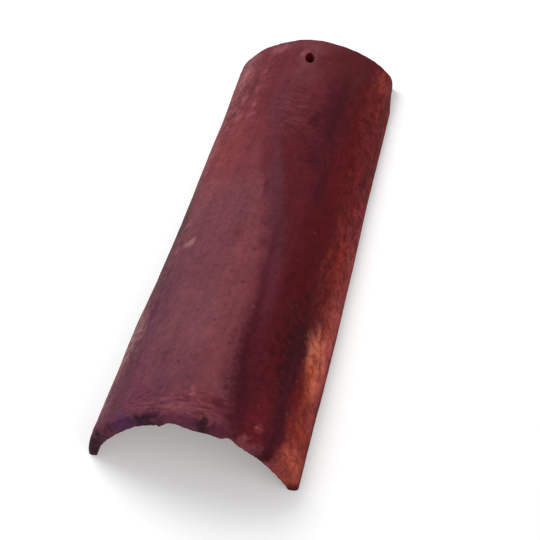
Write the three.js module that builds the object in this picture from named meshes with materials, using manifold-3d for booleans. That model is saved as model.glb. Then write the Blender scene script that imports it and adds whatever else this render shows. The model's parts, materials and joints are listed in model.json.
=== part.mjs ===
// Tapered barrel roof tile, the clay "mission" cover tile: one piece of fired clay.
//
// Millimetres. The tile lies as it does on a level floor, hollow side down: +Z is up and both feet are
// on z = 0. +Y runs up the roof slope, from the wide tail to the narrow head. The origin is on the
// floor under the middle of the tile.

import * as THREE from "three";
import { mergeVertices } from "three/addons/utils/BufferGeometryUtils.js";
import Module from "manifold-3d";

// ---------------------------------------------------------------- driving dimensions

// Outside of the arch. Each tile's head nests under the tail of the tile above it.
const LENGTH = 457;
const TAIL_WIDTH = 178;
const TAIL_HEIGHT = 80;
const HEAD_WIDTH = 152;
const HEAD_HEIGHT = 54;

// The wall is thickest on the crown and thinner at the feet.
const CROWN_WALL = 13;
const FOOT_WALL = 9;

// Fullness of the arch: 2 is half an ellipse, and less is more pointed.
const OUTER_FULLNESS = 1.75;
const INNER_FULLNESS = 1.65;

// Worn edges: the rounding of the tail and of the crisper head outside, of both ends inside, and along
// each foot.
const TAIL_EASE = 4;
const HEAD_EASE = 1;
const INNER_EASE = 0.8;
const FOOT_EASE = 2;

// Nail hole, an oval punched through the crown near the head, with a crater round its mouth and a
// wider break-out underneath.
const HOLE_WIDTH = 8;
const HOLE_LENGTH = 12;
const HOLE_SETBACK = 27;
const CRATER_RIM = 1.6;
const CRATER_DEPTH = 1.2;
const BREAKOUT_RIM = 2;
const BREAKOUT_DEPTH = 3;

// Presses and bulges that hands left in the flanks while the clay was soft. side is 1 for the right
// flank and -1 for the left one, at is the place along the tile from 0 at the tail to 1 at the head,
// reach is how far along the tile it shows, rise is how far up from the floor, and out is how far the
// foot moved outwards.
const FLANK_DENTS = [
  { side: 1, at: 1, reach: 40, rise: 14, out: -3.7 }, // right foot tucked in at the head
  { side: -1, at: 1, reach: 95, rise: 28, out: 2.7 }, // left foot splayed at the head
  { side: 1, at: 0.31, reach: 130, rise: 60, out: 1.2 }, // right flank bulged
  { side: -1, at: 0.52, reach: 160, rise: 60, out: -1.6 }, // left flank pressed in
  { side: -1, at: 0.27, reach: 45, rise: 60, out: 1.5 }, // left flank bulged
];

// Ragged inner edge of the tail, by arch angle in degrees from the crown (right is positive). A
// positive drop is clay that hangs into the hollow, and a negative one is clay that is missing.
const RAGGED_EDGE = [
  { at: -62, spread: 30, drop: 1.3 }, // clay left standing at the left foot
  { at: -32, spread: 9, drop: -1.1 }, // thumb mark
  { at: -17, spread: 3, drop: 2.9 }, // nib
  { at: -7, spread: 9, drop: -2.1 }, // finger scoop
  { at: 13, spread: 15, drop: 2.7 }, // slumped lip
  { at: 32, spread: 6.5, drop: -5.2 }, // bite where the lip tore off
  { at: 69, spread: 22, drop: 2.2 }, // clay left standing at the right foot
];
const RAGGED_REACH = 16;

// ---------------------------------------------------------------- mesh fineness

const ARCH_STEPS = 52;
const EASE_STEPS = 2;
const END_STEPS = 3;
const RAGGED_STEPS = 3;
const BODY_STEPS = 18;
const HEAD_STEPS = 5;
const HEAD_REACH = 45;
const HOLE_SIDES = 24;

// ---------------------------------------------------------------- dependent dimensions

const TAIL_Y = -LENGTH / 2;
const HEAD_Y = LENGTH / 2;
const CROWN_SLOPE = (HEAD_HEIGHT - TAIL_HEIGHT) / LENGTH;
const QUARTER_TURN = Math.PI / 2;
const { lerp, mapLinear, smoothstep } = THREE.MathUtils;

// How far along the tile y is: 0 at the tail, 1 at the head.
const along = (y) => (y - TAIL_Y) / LENGTH;

// Outside half-width and height of the arch at y.
function outsideAt(y) {
  return {
    halfWidth: lerp(TAIL_WIDTH, HEAD_WIDTH, along(y)) / 2,
    height: lerp(TAIL_HEIGHT, HEAD_HEIGHT, along(y)),
  };
}

// ---------------------------------------------------------------- arch section

// Point of a superellipse arch at an angle from the crown; the feet are a quarter turn either way.
function archPoint(halfWidth, height, fullness, angle) {
  const across = Math.sin(angle);
  const up = Math.max(Math.cos(angle), 0);
  return new THREE.Vector2(
    halfWidth * Math.sign(across) * Math.abs(across) ** (2 / fullness),
    height * up ** (2 / fullness),
  );
}

// One face of the wall as a line from the left foot over the crown to the right foot. side is 1 for the
// outer face and -1 for the inner one: it says which way the face curves under the foot.
function wallLine(halfWidth, height, fullness, side) {
  const footAngle = Math.acos((FOOT_EASE / height) ** (fullness / 2));
  const points = [];
  for (let i = 0; i <= ARCH_STEPS; i++) {
    const angle = lerp(-footAngle, footAngle, i / ARCH_STEPS);
    points.push(archPoint(halfWidth, height, fullness, angle));
  }
  const footX = points[ARCH_STEPS].x;
  for (let i = 1; i <= EASE_STEPS; i++) {
    const turn = (QUARTER_TURN * i) / EASE_STEPS;
    const x = footX - side * FOOT_EASE * (1 - Math.cos(turn));
    const z = FOOT_EASE * (1 - Math.sin(turn));
    points.push(new THREE.Vector2(x, z));
    points.unshift(new THREE.Vector2(-x, z));
  }
  return points;
}

// Moves a point by a distance towards another one.
function shift(point, towards, distance) {
  const step = towards.clone().sub(point).setLength(distance);
  return point.clone().add(step);
}

// How far the clay hangs below the plain inner face at y, for an arch angle in degrees.
function raggedDrop(y, degrees) {
  const fade = 1 - smoothstep(y - TAIL_Y, 0, RAGGED_REACH);
  const bump = ({ at, spread, drop }) => drop * (1 - smoothstep(Math.abs(degrees - at), 0, spread));
  return fade * RAGGED_EDGE.reduce((sum, feature) => sum + bump(feature), 0);
}

// Where a point of the arch lands sideways, once the flanks are dented.
function dentedX(x, y, z) {
  const fade = (distance, reach) => 1 - smoothstep(distance, 0, reach);
  const onFlank = smoothstep(Math.abs(x) / outsideAt(y).halfWidth, 0.2, 0.7);
  return FLANK_DENTS.filter(({ side }) => side * x > 0).reduce((moved, dent) => {
    const distance = Math.abs(y - lerp(TAIL_Y, HEAD_Y, dent.at));
    const share = onFlank * fade(distance, dent.reach) * fade(z, dent.rise);
    return moved + dent.side * dent.out * share;
  }, x);
}

// The two faces of the wall at y, as matching lines from the left foot to the right one.
function wallAt(y) {
  const { halfWidth, height } = outsideAt(y);
  const outer = wallLine(halfWidth, height, OUTER_FULLNESS, 1);
  const plain = wallLine(halfWidth - FOOT_WALL, height - CROWN_WALL, INNER_FULLNESS, -1);
  const inner = plain.map((point, i) => {
    const degrees = mapLinear(i, 0, plain.length - 1, -90, 90);
    return shift(point, outer[i], -raggedDrop(y, degrees));
  });
  return { outer, inner };
}

// One face of the wall in space. The inset draws it towards the middle of the wall, which is how the
// ends are rounded.
function faceAt(face, { y, inset }) {
  const { outer, inner } = wallAt(y);
  return { outer, inner }[face].map((point, i) => {
    const middle = outer[i].clone().lerp(inner[i], 0.5);
    middle.y = Math.max(middle.y, FOOT_WALL / 2);
    const eased = shift(point, middle, inset);
    return new THREE.Vector3(dentedX(eased.x, y, eased.y), y, eased.y);
  });
}

// ---------------------------------------------------------------- lofted shell

// Evenly spaced values after "from", up to and with "to".
function evenly(from, to, steps) {
  return Array.from({ length: steps }, (_, i) => lerp(from, to, (i + 1) / steps));
}

// Stations of one face along the tile, each with its inset: close together round the ends, at the
// ragged edge and where the head's feet were moved.
function stations(tailEase, headEase) {
  const round = (ease) =>
    Array.from({ length: END_STEPS + 1 }, (_, i) => {
      const turn = (QUARTER_TURN * i) / END_STEPS;
      return { depth: ease * (1 - Math.cos(turn)), inset: ease * (1 - Math.sin(turn)) };
    });
  const plain = [
    ...evenly(TAIL_Y + tailEase, TAIL_Y + RAGGED_REACH, RAGGED_STEPS),
    ...evenly(TAIL_Y + RAGGED_REACH, HEAD_Y - HEAD_REACH, BODY_STEPS),
    ...evenly(HEAD_Y - HEAD_REACH, HEAD_Y - headEase, HEAD_STEPS).slice(0, -1),
  ];
  return [
    ...round(tailEase).map(({ depth, inset }) => ({ y: TAIL_Y + depth, inset })),
    ...plain.map((y) => ({ y, inset: 0 })),
    ...round(headEase).map(({ depth, inset }) => ({ y: HEAD_Y - depth, inset })).reverse(),
  ];
}

// Closed shell through every station: an outer and an inner face, a strip under each foot, and an end
// face at the tail and at the head.
function loftedShell() {
  const outer = stations(TAIL_EASE, HEAD_EASE).map((station) => faceAt("outer", station));
  const inner = stations(INNER_EASE, INNER_EASE).map((station) => faceAt("inner", station));
  const count = outer[0].length;
  const vertices = outer.flatMap((line, station) => [...line, ...inner[station]]);
  const outerAt = (station, i) => station * 2 * count + i;
  const innerAt = (station, i) => outerAt(station, i) + count;
  const indices = [];
  const quad = (a, b, c, d) => indices.push(a, b, c, a, c, d);

  const head = outer.length - 1;
  const foot = count - 1;
  for (let s = 0; s < head; s++) {
    for (let i = 0; i < foot; i++) {
      quad(outerAt(s, i), outerAt(s, i + 1), outerAt(s + 1, i + 1), outerAt(s + 1, i));
      quad(innerAt(s, i), innerAt(s + 1, i), innerAt(s + 1, i + 1), innerAt(s, i + 1));
    }
    quad(outerAt(s, 0), outerAt(s + 1, 0), innerAt(s + 1, 0), innerAt(s, 0));
    quad(innerAt(s, foot), innerAt(s + 1, foot), outerAt(s + 1, foot), outerAt(s, foot));
  }
  for (let i = 0; i < foot; i++) {
    quad(innerAt(0, i), innerAt(0, i + 1), outerAt(0, i + 1), outerAt(0, i));
    quad(innerAt(head, i), outerAt(head, i), outerAt(head, i + 1), innerAt(head, i + 1));
  }
  return new THREE.BufferGeometry().setFromPoints(vertices).setIndex(indices);
}

// ---------------------------------------------------------------- nail hole

// A tapered round plug standing on z = "from", made oval along the tile.
function ovalPlug(bottomRadius, topRadius, from, to) {
  const plug = new THREE.CylinderGeometry(topRadius, bottomRadius, to - from, HOLE_SIDES);
  plug.rotateX(QUARTER_TURN);
  plug.translate(0, 0, (from + to) / 2);
  const stretch = HOLE_LENGTH - HOLE_WIDTH;
  const position = plug.getAttribute("position");
  for (let i = 0; i < position.count; i++) {
    const radius = Math.hypot(position.getX(i), position.getY(i));
    const lengthwise = radius > 0 ? position.getY(i) / radius : 0;
    position.setY(i, position.getY(i) + (stretch / 2) * lengthwise);
  }
  return plug;
}

// A cutter that opens out from the bore's radius on one face of the wall: it is wider by rim at
// "face", and runs as far beyond it. outward is 1 upwards and -1 downwards.
function flare(face, depth, rim, outward) {
  const narrow = HOLE_WIDTH / 2;
  const wide = narrow + 2 * rim;
  return outward > 0
    ? ovalPlug(narrow, wide, face - depth, face + depth)
    : ovalPlug(wide, narrow, face - depth, face + depth);
}

// The three cutters of the hole, square to the sloping crown: the bore, the crater and the break-out.
function holeCutters() {
  const y = HEAD_Y - HOLE_SETBACK;
  const { height } = outsideAt(y);
  const bore = ovalPlug(HOLE_WIDTH / 2, HOLE_WIDTH / 2, -2 * CROWN_WALL, CROWN_WALL);
  const crater = flare(0, CRATER_DEPTH, CRATER_RIM, 1);
  const breakout = flare(-CROWN_WALL, BREAKOUT_DEPTH, BREAKOUT_RIM, -1);
  return [bore, crater, breakout].map((cutter) =>
    cutter.rotateX(Math.atan(CROWN_SLOPE)).translate(0, y, height),
  );
}

// ---------------------------------------------------------------- solids

const wasm = await Module();
wasm.setup();

// A closed geometry as a solid.
function solidOf(geometry) {
  const bare = geometry.clone();
  bare.deleteAttribute("normal");
  bare.deleteAttribute("uv");
  const merged = mergeVertices(bare);
  const mesh = new wasm.Mesh({
    numProp: 3,
    vertProperties: merged.getAttribute("position").array,
    triVerts: new Uint32Array(merged.getIndex().array),
  });
  return new wasm.Manifold(mesh);
}

// A solid back as a geometry with flat-shaded faces.
function geometryOf(solid) {
  const { vertProperties, triVerts } = solid.getMesh();
  const indexed = new THREE.BufferGeometry()
    .setAttribute("position", new THREE.BufferAttribute(vertProperties, 3))
    .setIndex(new THREE.BufferAttribute(triVerts, 1));
  const flat = indexed.toNonIndexed();
  flat.computeVertexNormals();
  return flat;
}

// ---------------------------------------------------------------- the tile

const firedClay = new THREE.MeshStandardMaterial({
  name: "fired_clay",
  color: 0x6b3236,
  roughness: 0.82,
  metalness: 0,
});

const shell = solidOf(loftedShell());
const pierced = holeCutters().reduce((solid, cutter) => solid.subtract(solidOf(cutter)), shell);
const tile = new THREE.Mesh(geometryOf(pierced), firedClay);
tile.name = "barrel_tile";

const group = new THREE.Group();
group.name = "clay_roof_tile";
group.add(tile);

export default group;
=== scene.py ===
"""Clay barrel roof tile: one hand-pressed piece of fired clay, lying hollow side down on a floor.

Metres. +Z is up and both feet stand on z = 0. +Y runs up the roof slope, from the wide tail to the
narrow head, and +X is to the right of somebody who looks that way.
"""

import json
import logging
import math
from contextlib import contextmanager
from dataclasses import asdict, dataclass
from enum import Enum
from typing import Callable, Iterator, Mapping, Sequence

import bmesh
import bpy
from mathutils import Matrix, Vector

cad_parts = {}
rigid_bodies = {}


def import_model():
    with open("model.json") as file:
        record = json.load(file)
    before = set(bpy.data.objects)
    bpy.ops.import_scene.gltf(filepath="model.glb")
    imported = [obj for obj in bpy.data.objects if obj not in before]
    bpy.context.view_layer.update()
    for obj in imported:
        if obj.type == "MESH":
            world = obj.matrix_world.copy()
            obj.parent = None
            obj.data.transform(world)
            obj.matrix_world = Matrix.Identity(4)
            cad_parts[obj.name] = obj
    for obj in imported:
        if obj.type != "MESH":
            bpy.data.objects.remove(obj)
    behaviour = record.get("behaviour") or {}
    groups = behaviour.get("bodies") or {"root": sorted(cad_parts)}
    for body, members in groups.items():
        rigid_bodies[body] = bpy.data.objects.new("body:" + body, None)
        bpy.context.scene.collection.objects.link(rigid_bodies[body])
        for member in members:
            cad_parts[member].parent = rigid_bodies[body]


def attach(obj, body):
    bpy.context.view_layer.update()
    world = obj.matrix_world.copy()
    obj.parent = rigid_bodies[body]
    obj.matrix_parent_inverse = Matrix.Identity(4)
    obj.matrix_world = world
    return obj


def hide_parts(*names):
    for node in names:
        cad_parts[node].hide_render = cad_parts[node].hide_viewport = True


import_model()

log = logging.getLogger("roof_tile")

MM = 0.001
FRAME_PIXELS = 540

NEAR = 0.1 * MM  # places that differ by less count as level with each other
TOUCH = 2 * MM  # how near a push takes hold of the clay
ON_ARCH = 0.02  # how far off an arch a place may be and still count as on it, in arch sizes
STROKES_A_REACH = 1.5  # pushes for each reach of an edge, close enough to merge into one bump

Elements = Sequence[bmesh.types.BMVert] | Sequence[bmesh.types.BMEdge]
VertexTest = Callable[[Vector], bool]
TouchTest = Callable[[Vector, float], bool]
EdgeTest = Callable[[Vector, Vector], bool]


# ------------------------------------------------------------------------------ working by hand


def pick(*pieces: bpy.types.Object) -> None:
    """Selects some pieces, or none, and nothing else, and makes the first one active.

    Args:
        pieces: The pieces.
    """
    for item in bpy.context.view_layer.objects:
        item.select_set(item in pieces)
    if pieces:
        bpy.context.view_layer.objects.active = pieces[0]


@contextmanager
def editing(piece: bpy.types.Object, elements: str = "VERT") -> Iterator[None]:
    """Opens a piece in edit mode with nothing selected, and closes it afterwards.

    Args:
        piece: The mesh to work on.
        elements: What a click would select: VERT, EDGE or FACE.
    """
    pick(piece)
    bpy.ops.object.mode_set(mode="EDIT")
    bpy.ops.mesh.select_mode(type=elements)
    bpy.ops.mesh.select_all(action="DESELECT")
    yield
    bpy.ops.object.mode_set(mode="OBJECT")


def select_all() -> None:
    """Selects the whole open piece."""
    bpy.ops.mesh.select_all(action="SELECT")


def select_some(kind: str, choose: Callable[[bmesh.types.BMesh], Elements]) -> int:
    """Selects some vertices or edges of the open piece, and nothing else.

    Args:
        kind: VERT or EDGE.
        choose: Picks them from the open piece.

    Returns:
        How many were selected.
    """
    bpy.ops.mesh.select_mode(type=kind)
    bpy.ops.mesh.select_all(action="DESELECT")
    mesh = bpy.context.object.data
    shape = bmesh.from_edit_mesh(mesh)
    chosen = choose(shape)
    for element in chosen:
        element.select_set(True)
    if kind == "VERT":
        shape.select_flush(True)
    bmesh.update_edit_mesh(mesh)
    return len(chosen)


def select_vertices(test: VertexTest) -> int:
    """Selects the vertices whose place passes a test, and returns how many those are."""
    return select_some("VERT", lambda shape: [v for v in shape.verts if test(v.co)])


def select_edges(test: EdgeTest) -> int:
    """Selects the edges whose two ends pass a test, and returns how many those are."""
    return select_some(
        "EDGE", lambda shape: [e for e in shape.edges if test(e.verts[0].co, e.verts[1].co)]
    )


def push(step: Sequence[float], reach: float) -> None:
    """Moves the selection, and drags the clay round it along, less and less with distance.

    Args:
        step: How far the selection itself moves.
        reach: How far away the clay still moves.
    """
    bpy.ops.transform.translate(
        value=step,
        orient_type="GLOBAL",
        use_proportional_edit=True,
        proportional_edit_falloff="SMOOTH",
        proportional_size=reach,
    )


def work_in(touched: TouchTest, step: Vector, spread: float, reach: float) -> None:
    """Moves a stretch of an edge in one soft bump, by pushes over longer and longer stretches.

    Args:
        touched: Says whether a place is touched by a push, for half the length of its stretch.
        step: How far the middle of the bump moves in all.
        spread: Half the length of the bump.
        reach: How far away from the edge the clay still moves.
    """
    strokes = max(1, math.ceil(STROKES_A_REACH * (spread - reach) / reach) + 1)
    for stroke in range(strokes):
        half = max(0.0, spread - reach) * (stroke + 0.5) / strokes
        if select_vertices(lambda place: touched(place, half)):
            push(step / strokes, min(reach, spread))


def apply_modifier(piece: bpy.types.Object, kind: str, **settings: object) -> None:
    """Adds one modifier to a piece and applies it.

    Args:
        piece: The mesh to change.
        kind: The modifier's type, such as BEVEL.
        settings: Its properties by name.
    """
    pick(piece)
    modifier = piece.modifiers.new(kind.lower(), kind)
    for name, value in settings.items():
        setattr(modifier, name, value)
    bpy.ops.object.modifier_apply(modifier=modifier.name)


def report(piece: bpy.types.Object, stage: str) -> None:
    """Logs how many faces a piece has after a stage of the work."""
    log.info("%s, %s: %d faces", piece.name, stage, len(piece.data.polygons))


def smooth_step(value: float) -> float:
    """Returns an even ramp from 0 to 1 that starts and ends flat."""
    inside = min(max(value, 0.0), 1.0)
    return inside * inside * (3.0 - 2.0 * inside)


# ------------------------------------------------------------------------------ the shell


@dataclass(frozen=True)
class Arch:
    """One face of the wall in section: a rounded arch that stands on the floor.

    Attributes:
        half_width: From the middle to a foot.
        height: From the floor to the crown.
        fullness: 2 is half an ellipse, and less has flatter shoulders.
    """

    half_width: float
    height: float
    fullness: float

    def handle(self) -> float:
        """Returns the share of a side that a curve handle takes to pass through the shoulder."""
        shoulder = 0.5 ** (1.0 / self.fullness)
        return (8.0 * shoulder - 4.0) / 3.0

    def point(self, degrees: float) -> tuple[float, float]:
        """Finds a place on the arch.

        Args:
            degrees: Its angle from the crown, right positive.

        Returns:
            How far across and how far up it is.
        """
        across = math.sin(math.radians(degrees))
        up = max(math.cos(math.radians(degrees)), 0.0)
        return (
            math.copysign(self.half_width * abs(across) ** (2.0 / self.fullness), across),
            self.height * up ** (2.0 / self.fullness),
        )

    def degrees(self, place: Vector) -> float:
        """Returns the angle from the crown at which a place on this arch lies."""
        share = min(abs(place.x) / self.half_width, 1.0) ** (self.fullness / 2.0)
        return math.copysign(math.degrees(math.asin(share)), place.x)

    def level(self, place: Vector) -> float:
        """Measures how far out a place is.

        Args:
            place: The place.

        Returns:
            How large the arch would be, against its own size, to pass through it.
        """
        across = abs(place.x) / self.half_width
        up = max(place.z, 0.0) / self.height
        return (across**self.fullness + up**self.fullness) ** (1.0 / self.fullness)

    def carries(self, place: Vector) -> bool:
        """Returns whether a place lies on the arch."""
        return abs(self.level(place) - 1.0) < ON_ARCH

    def towards(self, other: "Arch", share: float) -> "Arch":
        """Blends the arch with another one.

        Args:
            other: The other one.
            share: How far on the way to it.

        Returns:
            The arch in between.
        """
        return Arch(
            self.half_width + (other.half_width - self.half_width) * share,
            self.height + (other.height - self.height) * share,
            self.fullness,
        )

    def draw(self, y: float, steps: int) -> bpy.types.Object:
        """Draws the arch as a curve from the left foot over the crown, and makes it a mesh line.

        Args:
            y: Where along the tile it stands.
            steps: Edges in each half of the line.

        Returns:
            The line.
        """
        pick()
        bpy.ops.curve.primitive_bezier_curve_add(radius=self.half_width, location=(0, 0, 0))
        line = bpy.context.object
        bpy.ops.object.mode_set(mode="EDIT")
        bpy.ops.curve.select_all(action="SELECT")
        bpy.ops.curve.subdivide(number_cuts=1)
        bpy.ops.object.mode_set(mode="OBJECT")
        along = self.handle() * self.half_width
        up = self.handle() * self.height
        stops = (
            ((-self.half_width, 0.0), (0.0, up)),
            ((0.0, self.height), (along, 0.0)),
            ((self.half_width, 0.0), (0.0, -up)),
        )
        for point, ((x, z), (reach_x, reach_z)) in zip(line.data.splines[0].bezier_points, stops):
            point.handle_left_type = point.handle_right_type = "FREE"
            point.co = (x, y, z)
            point.handle_left = (x - reach_x, y, z - reach_z)
            point.handle_right = (x + reach_x, y, z + reach_z)
        line.data.splines[0].resolution_u = steps
        line.data.resolution_u = steps
        bpy.ops.object.convert(target="MESH")
        return bpy.context.object


@dataclass
class TileShell:
    """The pressed and trimmed slab: a tapered arch with eased arrises.

    Attributes:
        length: From the tail to the head.
        tail_outside: Outer face at the tail.
        tail_inside: Inner face at the tail.
        head_outside: Outer face at the head.
        head_inside: Inner face at the head.
        half_steps: Edges from a foot to the crown before the surface is refined.
        rings: Where the slab is cut across, so that there is clay to shape.
        tail_ease: Rounding of the tail outside.
        head_ease: Rounding of the head outside.
        inner_ease: Rounding of both ends inside.
        foot_ease: Rounding along the feet.
        sole_ease: Rounding where a foot ends.
        ease_segments: Faces across a rounded edge.
        refinement: How often the surface is refined.
    """

    length: float = 457 * MM
    tail_outside: Arch = Arch(89 * MM, 80 * MM, 1.75)
    tail_inside: Arch = Arch(80 * MM, 67 * MM, 1.65)
    head_outside: Arch = Arch(76 * MM, 54 * MM, 1.75)
    head_inside: Arch = Arch(67 * MM, 41 * MM, 1.65)
    half_steps: int = 12
    rings: Sequence[float] = (
        -216, -203, -186, -164, -138, -110, -80, -50, -20, 10, 40, 70, 98, 124, 147, 168, 187,
        201.5, 214,
    )  # fmt: skip
    tail_ease: float = 4 * MM
    head_ease: float = 1 * MM
    inner_ease: float = 0.8 * MM
    foot_ease: float = 2 * MM
    sole_ease: float = 0.6 * MM
    ease_segments: int = 2
    refinement: int = 3

    @property
    def tail_y(self) -> float:
        """Where the tail ends."""
        return -self.length / 2

    @property
    def head_y(self) -> float:
        """Where the head ends."""
        return self.length / 2

    def model(self) -> bpy.types.Object:
        """Builds the slab from its two tail lines.

        Returns:
            The coarse slab, closed and facing outwards.
        """
        outer = self.tail_outside.draw(self.tail_y, self.half_steps)
        inner = self.tail_inside.draw(self.tail_y, self.half_steps)
        pick(outer, inner)
        bpy.ops.object.join()
        slab = bpy.context.object
        slab.name = slab.data.name = "tile_body"
        with editing(slab):
            select_all()
            bpy.ops.mesh.bridge_edge_loops()
            select_all()
            bpy.ops.mesh.extrude_region_move(
                TRANSFORM_OT_translate={"value": (0, self.length, 0)}
            )
            self._narrow(self.tail_outside, self.head_outside)
            self._narrow(self.tail_inside, self.head_inside)
            for ring in self.rings:
                select_all()
                bpy.ops.mesh.bisect(plane_co=(0, ring * MM, 0), plane_no=(0, 1, 0))
            select_all()
            bpy.ops.mesh.normals_make_consistent(inside=False)
        return slab

    def _narrow(self, tail: Arch, head: Arch) -> None:
        """Scales one line of the head end, which is still as large as the tail's, to its own size.

        Args:
            tail: The size that it has.
            head: The size that it gets.
        """
        select_vertices(lambda place: place.y > 0 and tail.carries(place))
        bpy.ops.transform.resize(
            value=(head.half_width / tail.half_width, 1, head.height / tail.height),
            center_override=(0, self.head_y, 0),
        )

    def ease(self, slab: bpy.types.Object) -> None:
        """Rounds the arrises of both ends and of the feet, each by its own amount.

        Args:
            slab: The coarse slab.
        """

        def arris(a: Vector, b: Vector, end: float, outer: bool) -> bool:
            """Returns whether an edge runs along one end, on the outer or the inner face."""
            at_end = abs(a.y - end) + abs(b.y - end) < NEAR
            return at_end and self.is_outside(a) == outer and self.is_outside(b) == outer

        def on_floor(a: Vector, b: Vector) -> bool:
            """Returns whether an edge lies on the floor."""
            return a.z < NEAR and b.z < NEAR

        def foot(a: Vector, b: Vector) -> bool:
            """Returns whether an edge runs along a foot."""
            return on_floor(a, b) and abs(a.y - b.y) > MM

        def sole_end(a: Vector, b: Vector) -> bool:
            """Returns whether an edge crosses the sole at one end."""
            return on_floor(a, b) and abs(a.y - b.y) < NEAR and abs(a.y) > self.head_y - NEAR

        arrises: tuple[tuple[EdgeTest, float], ...] = (
            (lambda a, b: arris(a, b, self.tail_y, True), self.tail_ease),
            (lambda a, b: arris(a, b, self.head_y, True), self.head_ease),
            (lambda a, b: arris(a, b, self.tail_y, False), self.inner_ease),
            (lambda a, b: arris(a, b, self.head_y, False), self.inner_ease),
            (foot, self.foot_ease),
            (sole_end, self.sole_ease),
        )
        widest = max(amount for _, amount in arrises)
        with editing(slab, "EDGE"):
            for test, amount in arrises:
                select_edges(test)
                bpy.ops.transform.edge_bevelweight(value=amount / widest)
        apply_modifier(
            slab, "BEVEL", limit_method="WEIGHT", width=widest, segments=self.ease_segments
        )

    def faces_at(self, y: float) -> tuple[Arch, Arch]:
        """Finds both faces of the wall at a place along the tile.

        Args:
            y: The place.

        Returns:
            The outer and the inner face.
        """
        share = (y - self.tail_y) / self.length
        return (
            self.tail_outside.towards(self.head_outside, share),
            self.tail_inside.towards(self.head_inside, share),
        )

    def is_outside(self, place: Vector) -> bool:
        """Returns whether a place is nearer to the outer face of the wall than the inner one."""
        outer, inner = self.faces_at(place.y)
        return 1.0 - outer.level(place) < inner.level(place) - 1.0

    def refine(self, slab: bpy.types.Object) -> None:
        """Refines the coarse slab to the fine surface that the small marks are worked into.

        Args:
            slab: The coarse slab.
        """
        apply_modifier(
            slab,
            "SUBSURF",
            levels=self.refinement,
            render_levels=self.refinement,
            use_limit_surface=False,
        )


@dataclass
class NailHole:
    """An oval hole punched through the crown near the head, with a crater and a break-out.

    Attributes:
        y: Its middle along the tile.
        half_width: Of the bore's top, across the tile.
        half_length: Of the bore's top, along the tile.
        taper: The bore's lower size against its upper one.
        slant: How much nearer to the tail it comes out underneath.
        turn: Degrees that its long way is turned to the left.
        crater_rim: How much further out the crater starts.
        crater_depth: How deep the crater is.
        breakout_rim: How much further out the clay tore off underneath.
        breakout_depth: How deep that is.
        burr: How high the clay was pushed up round the mouth.
        burr_width: How far out that shows.
        rounding: What refining an eight-sided ring leaves of its size.
    """

    y: float = 201.5 * MM
    half_width: float = 3.7 * MM
    half_length: float = 6.4 * MM
    taper: float = 0.8
    slant: float = 1.5 * MM
    turn: float = 20
    crater_rim: float = 1 * MM
    crater_depth: float = 1.2 * MM
    breakout_rim: float = 0.8 * MM
    breakout_depth: float = 1.5 * MM
    burr: float = 0.5 * MM
    burr_width: float = 3 * MM
    rounding: float = 0.9

    def punch(self, slab: bpy.types.Object, shell: TileShell) -> None:
        """Opens the crown on both faces and joins the two openings with a bore.

        Args:
            slab: The coarse slab, cut across where the hole is.
            shell: The sizes of the slab.
        """
        top, bottom = (face.height for face in shell.faces_at(self.y))
        mouth = (self.half_width + self.crater_rim, self.half_length + self.crater_rim)
        bore = (self.half_width / mouth[0], self.half_length / mouth[1])
        width, length = self.taper * self.half_width, self.taper * self.half_length
        deep = top - bottom - self.crater_depth - self.breakout_depth
        with editing(slab):
            self._open(
                Vector((0, self.y, bottom)), width + self.breakout_rim, length + self.breakout_rim
            )
            bpy.ops.transform.translate(value=(0, -self.slant, 0))
            self._open(Vector((0, self.y, top)), *mouth)
            self._sink(self.crater_depth, 0.0, *bore)
            self._sink(deep, self.slant, self.taper, self.taper)
            bpy.ops.mesh.select_non_manifold(extend=False)
            bpy.ops.mesh.bridge_edge_loops()
            select_all()
            bpy.ops.mesh.normals_make_consistent(inside=False)
            self._raise_burr(top)

    def _open(self, middle: Vector, half_width: float, half_length: float) -> None:
        """Turns the crown vertex at a place into an oval opening and selects its border.

        Args:
            middle: Where the vertex is.
            half_width: Of the opening, across the tile.
            half_length: Of the opening, along the tile.
        """
        border = 1.2 * self.half_length  # a little over the cut, so that its border is within
        select_vertices(lambda place: (place - middle).length < MM)
        bpy.ops.mesh.bevel(offset=self.half_length, affect="VERTICES", segments=2)
        select_vertices(lambda place: (place - middle).length < MM)
        bpy.ops.mesh.delete(type="VERT")
        select_edges(lambda a, b: max((a - middle).length, (b - middle).length) < border)
        bpy.ops.transform.tosphere(value=1.0)
        count = select_vertices(lambda place: (place - middle).length < border)
        shape = bmesh.from_edit_mesh(bpy.context.object.data)
        radius = sum((v.co - middle).length for v in shape.verts if v.select) / count
        size = radius * self.rounding
        bpy.ops.transform.resize(
            value=(half_width / size, half_length / size, 1), center_override=middle
        )
        bpy.ops.transform.rotate(
            value=math.radians(-self.turn), orient_axis="Z", center_override=middle
        )
        bpy.ops.mesh.select_mode(type="EDGE")

    def _sink(self, depth: float, slant: float, across: float, along: float) -> None:
        """Extrudes the selected border downwards.

        Args:
            depth: How far down.
            slant: How far towards the tail.
            across: The new border's width against the old one's.
            along: The new border's length against the old one's.
        """
        step = {"value": (0, -slant, -depth)}
        bpy.ops.mesh.extrude_edges_move(TRANSFORM_OT_translate=step)
        bpy.ops.transform.resize(value=(across, along, 1))

    def _raise_burr(self, top: float) -> None:
        """Lifts the mouth of the crater and a little of the clay round it.

        Args:
            top: The height of the crown there.
        """
        reach = self.half_length + self.crater_rim + TOUCH
        mouth = Vector((0, self.y, top))
        select_vertices(lambda place: (place - mouth).length < reach and place.z > top - MM)
        push((0, 0, self.burr), self.burr_width)


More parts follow.
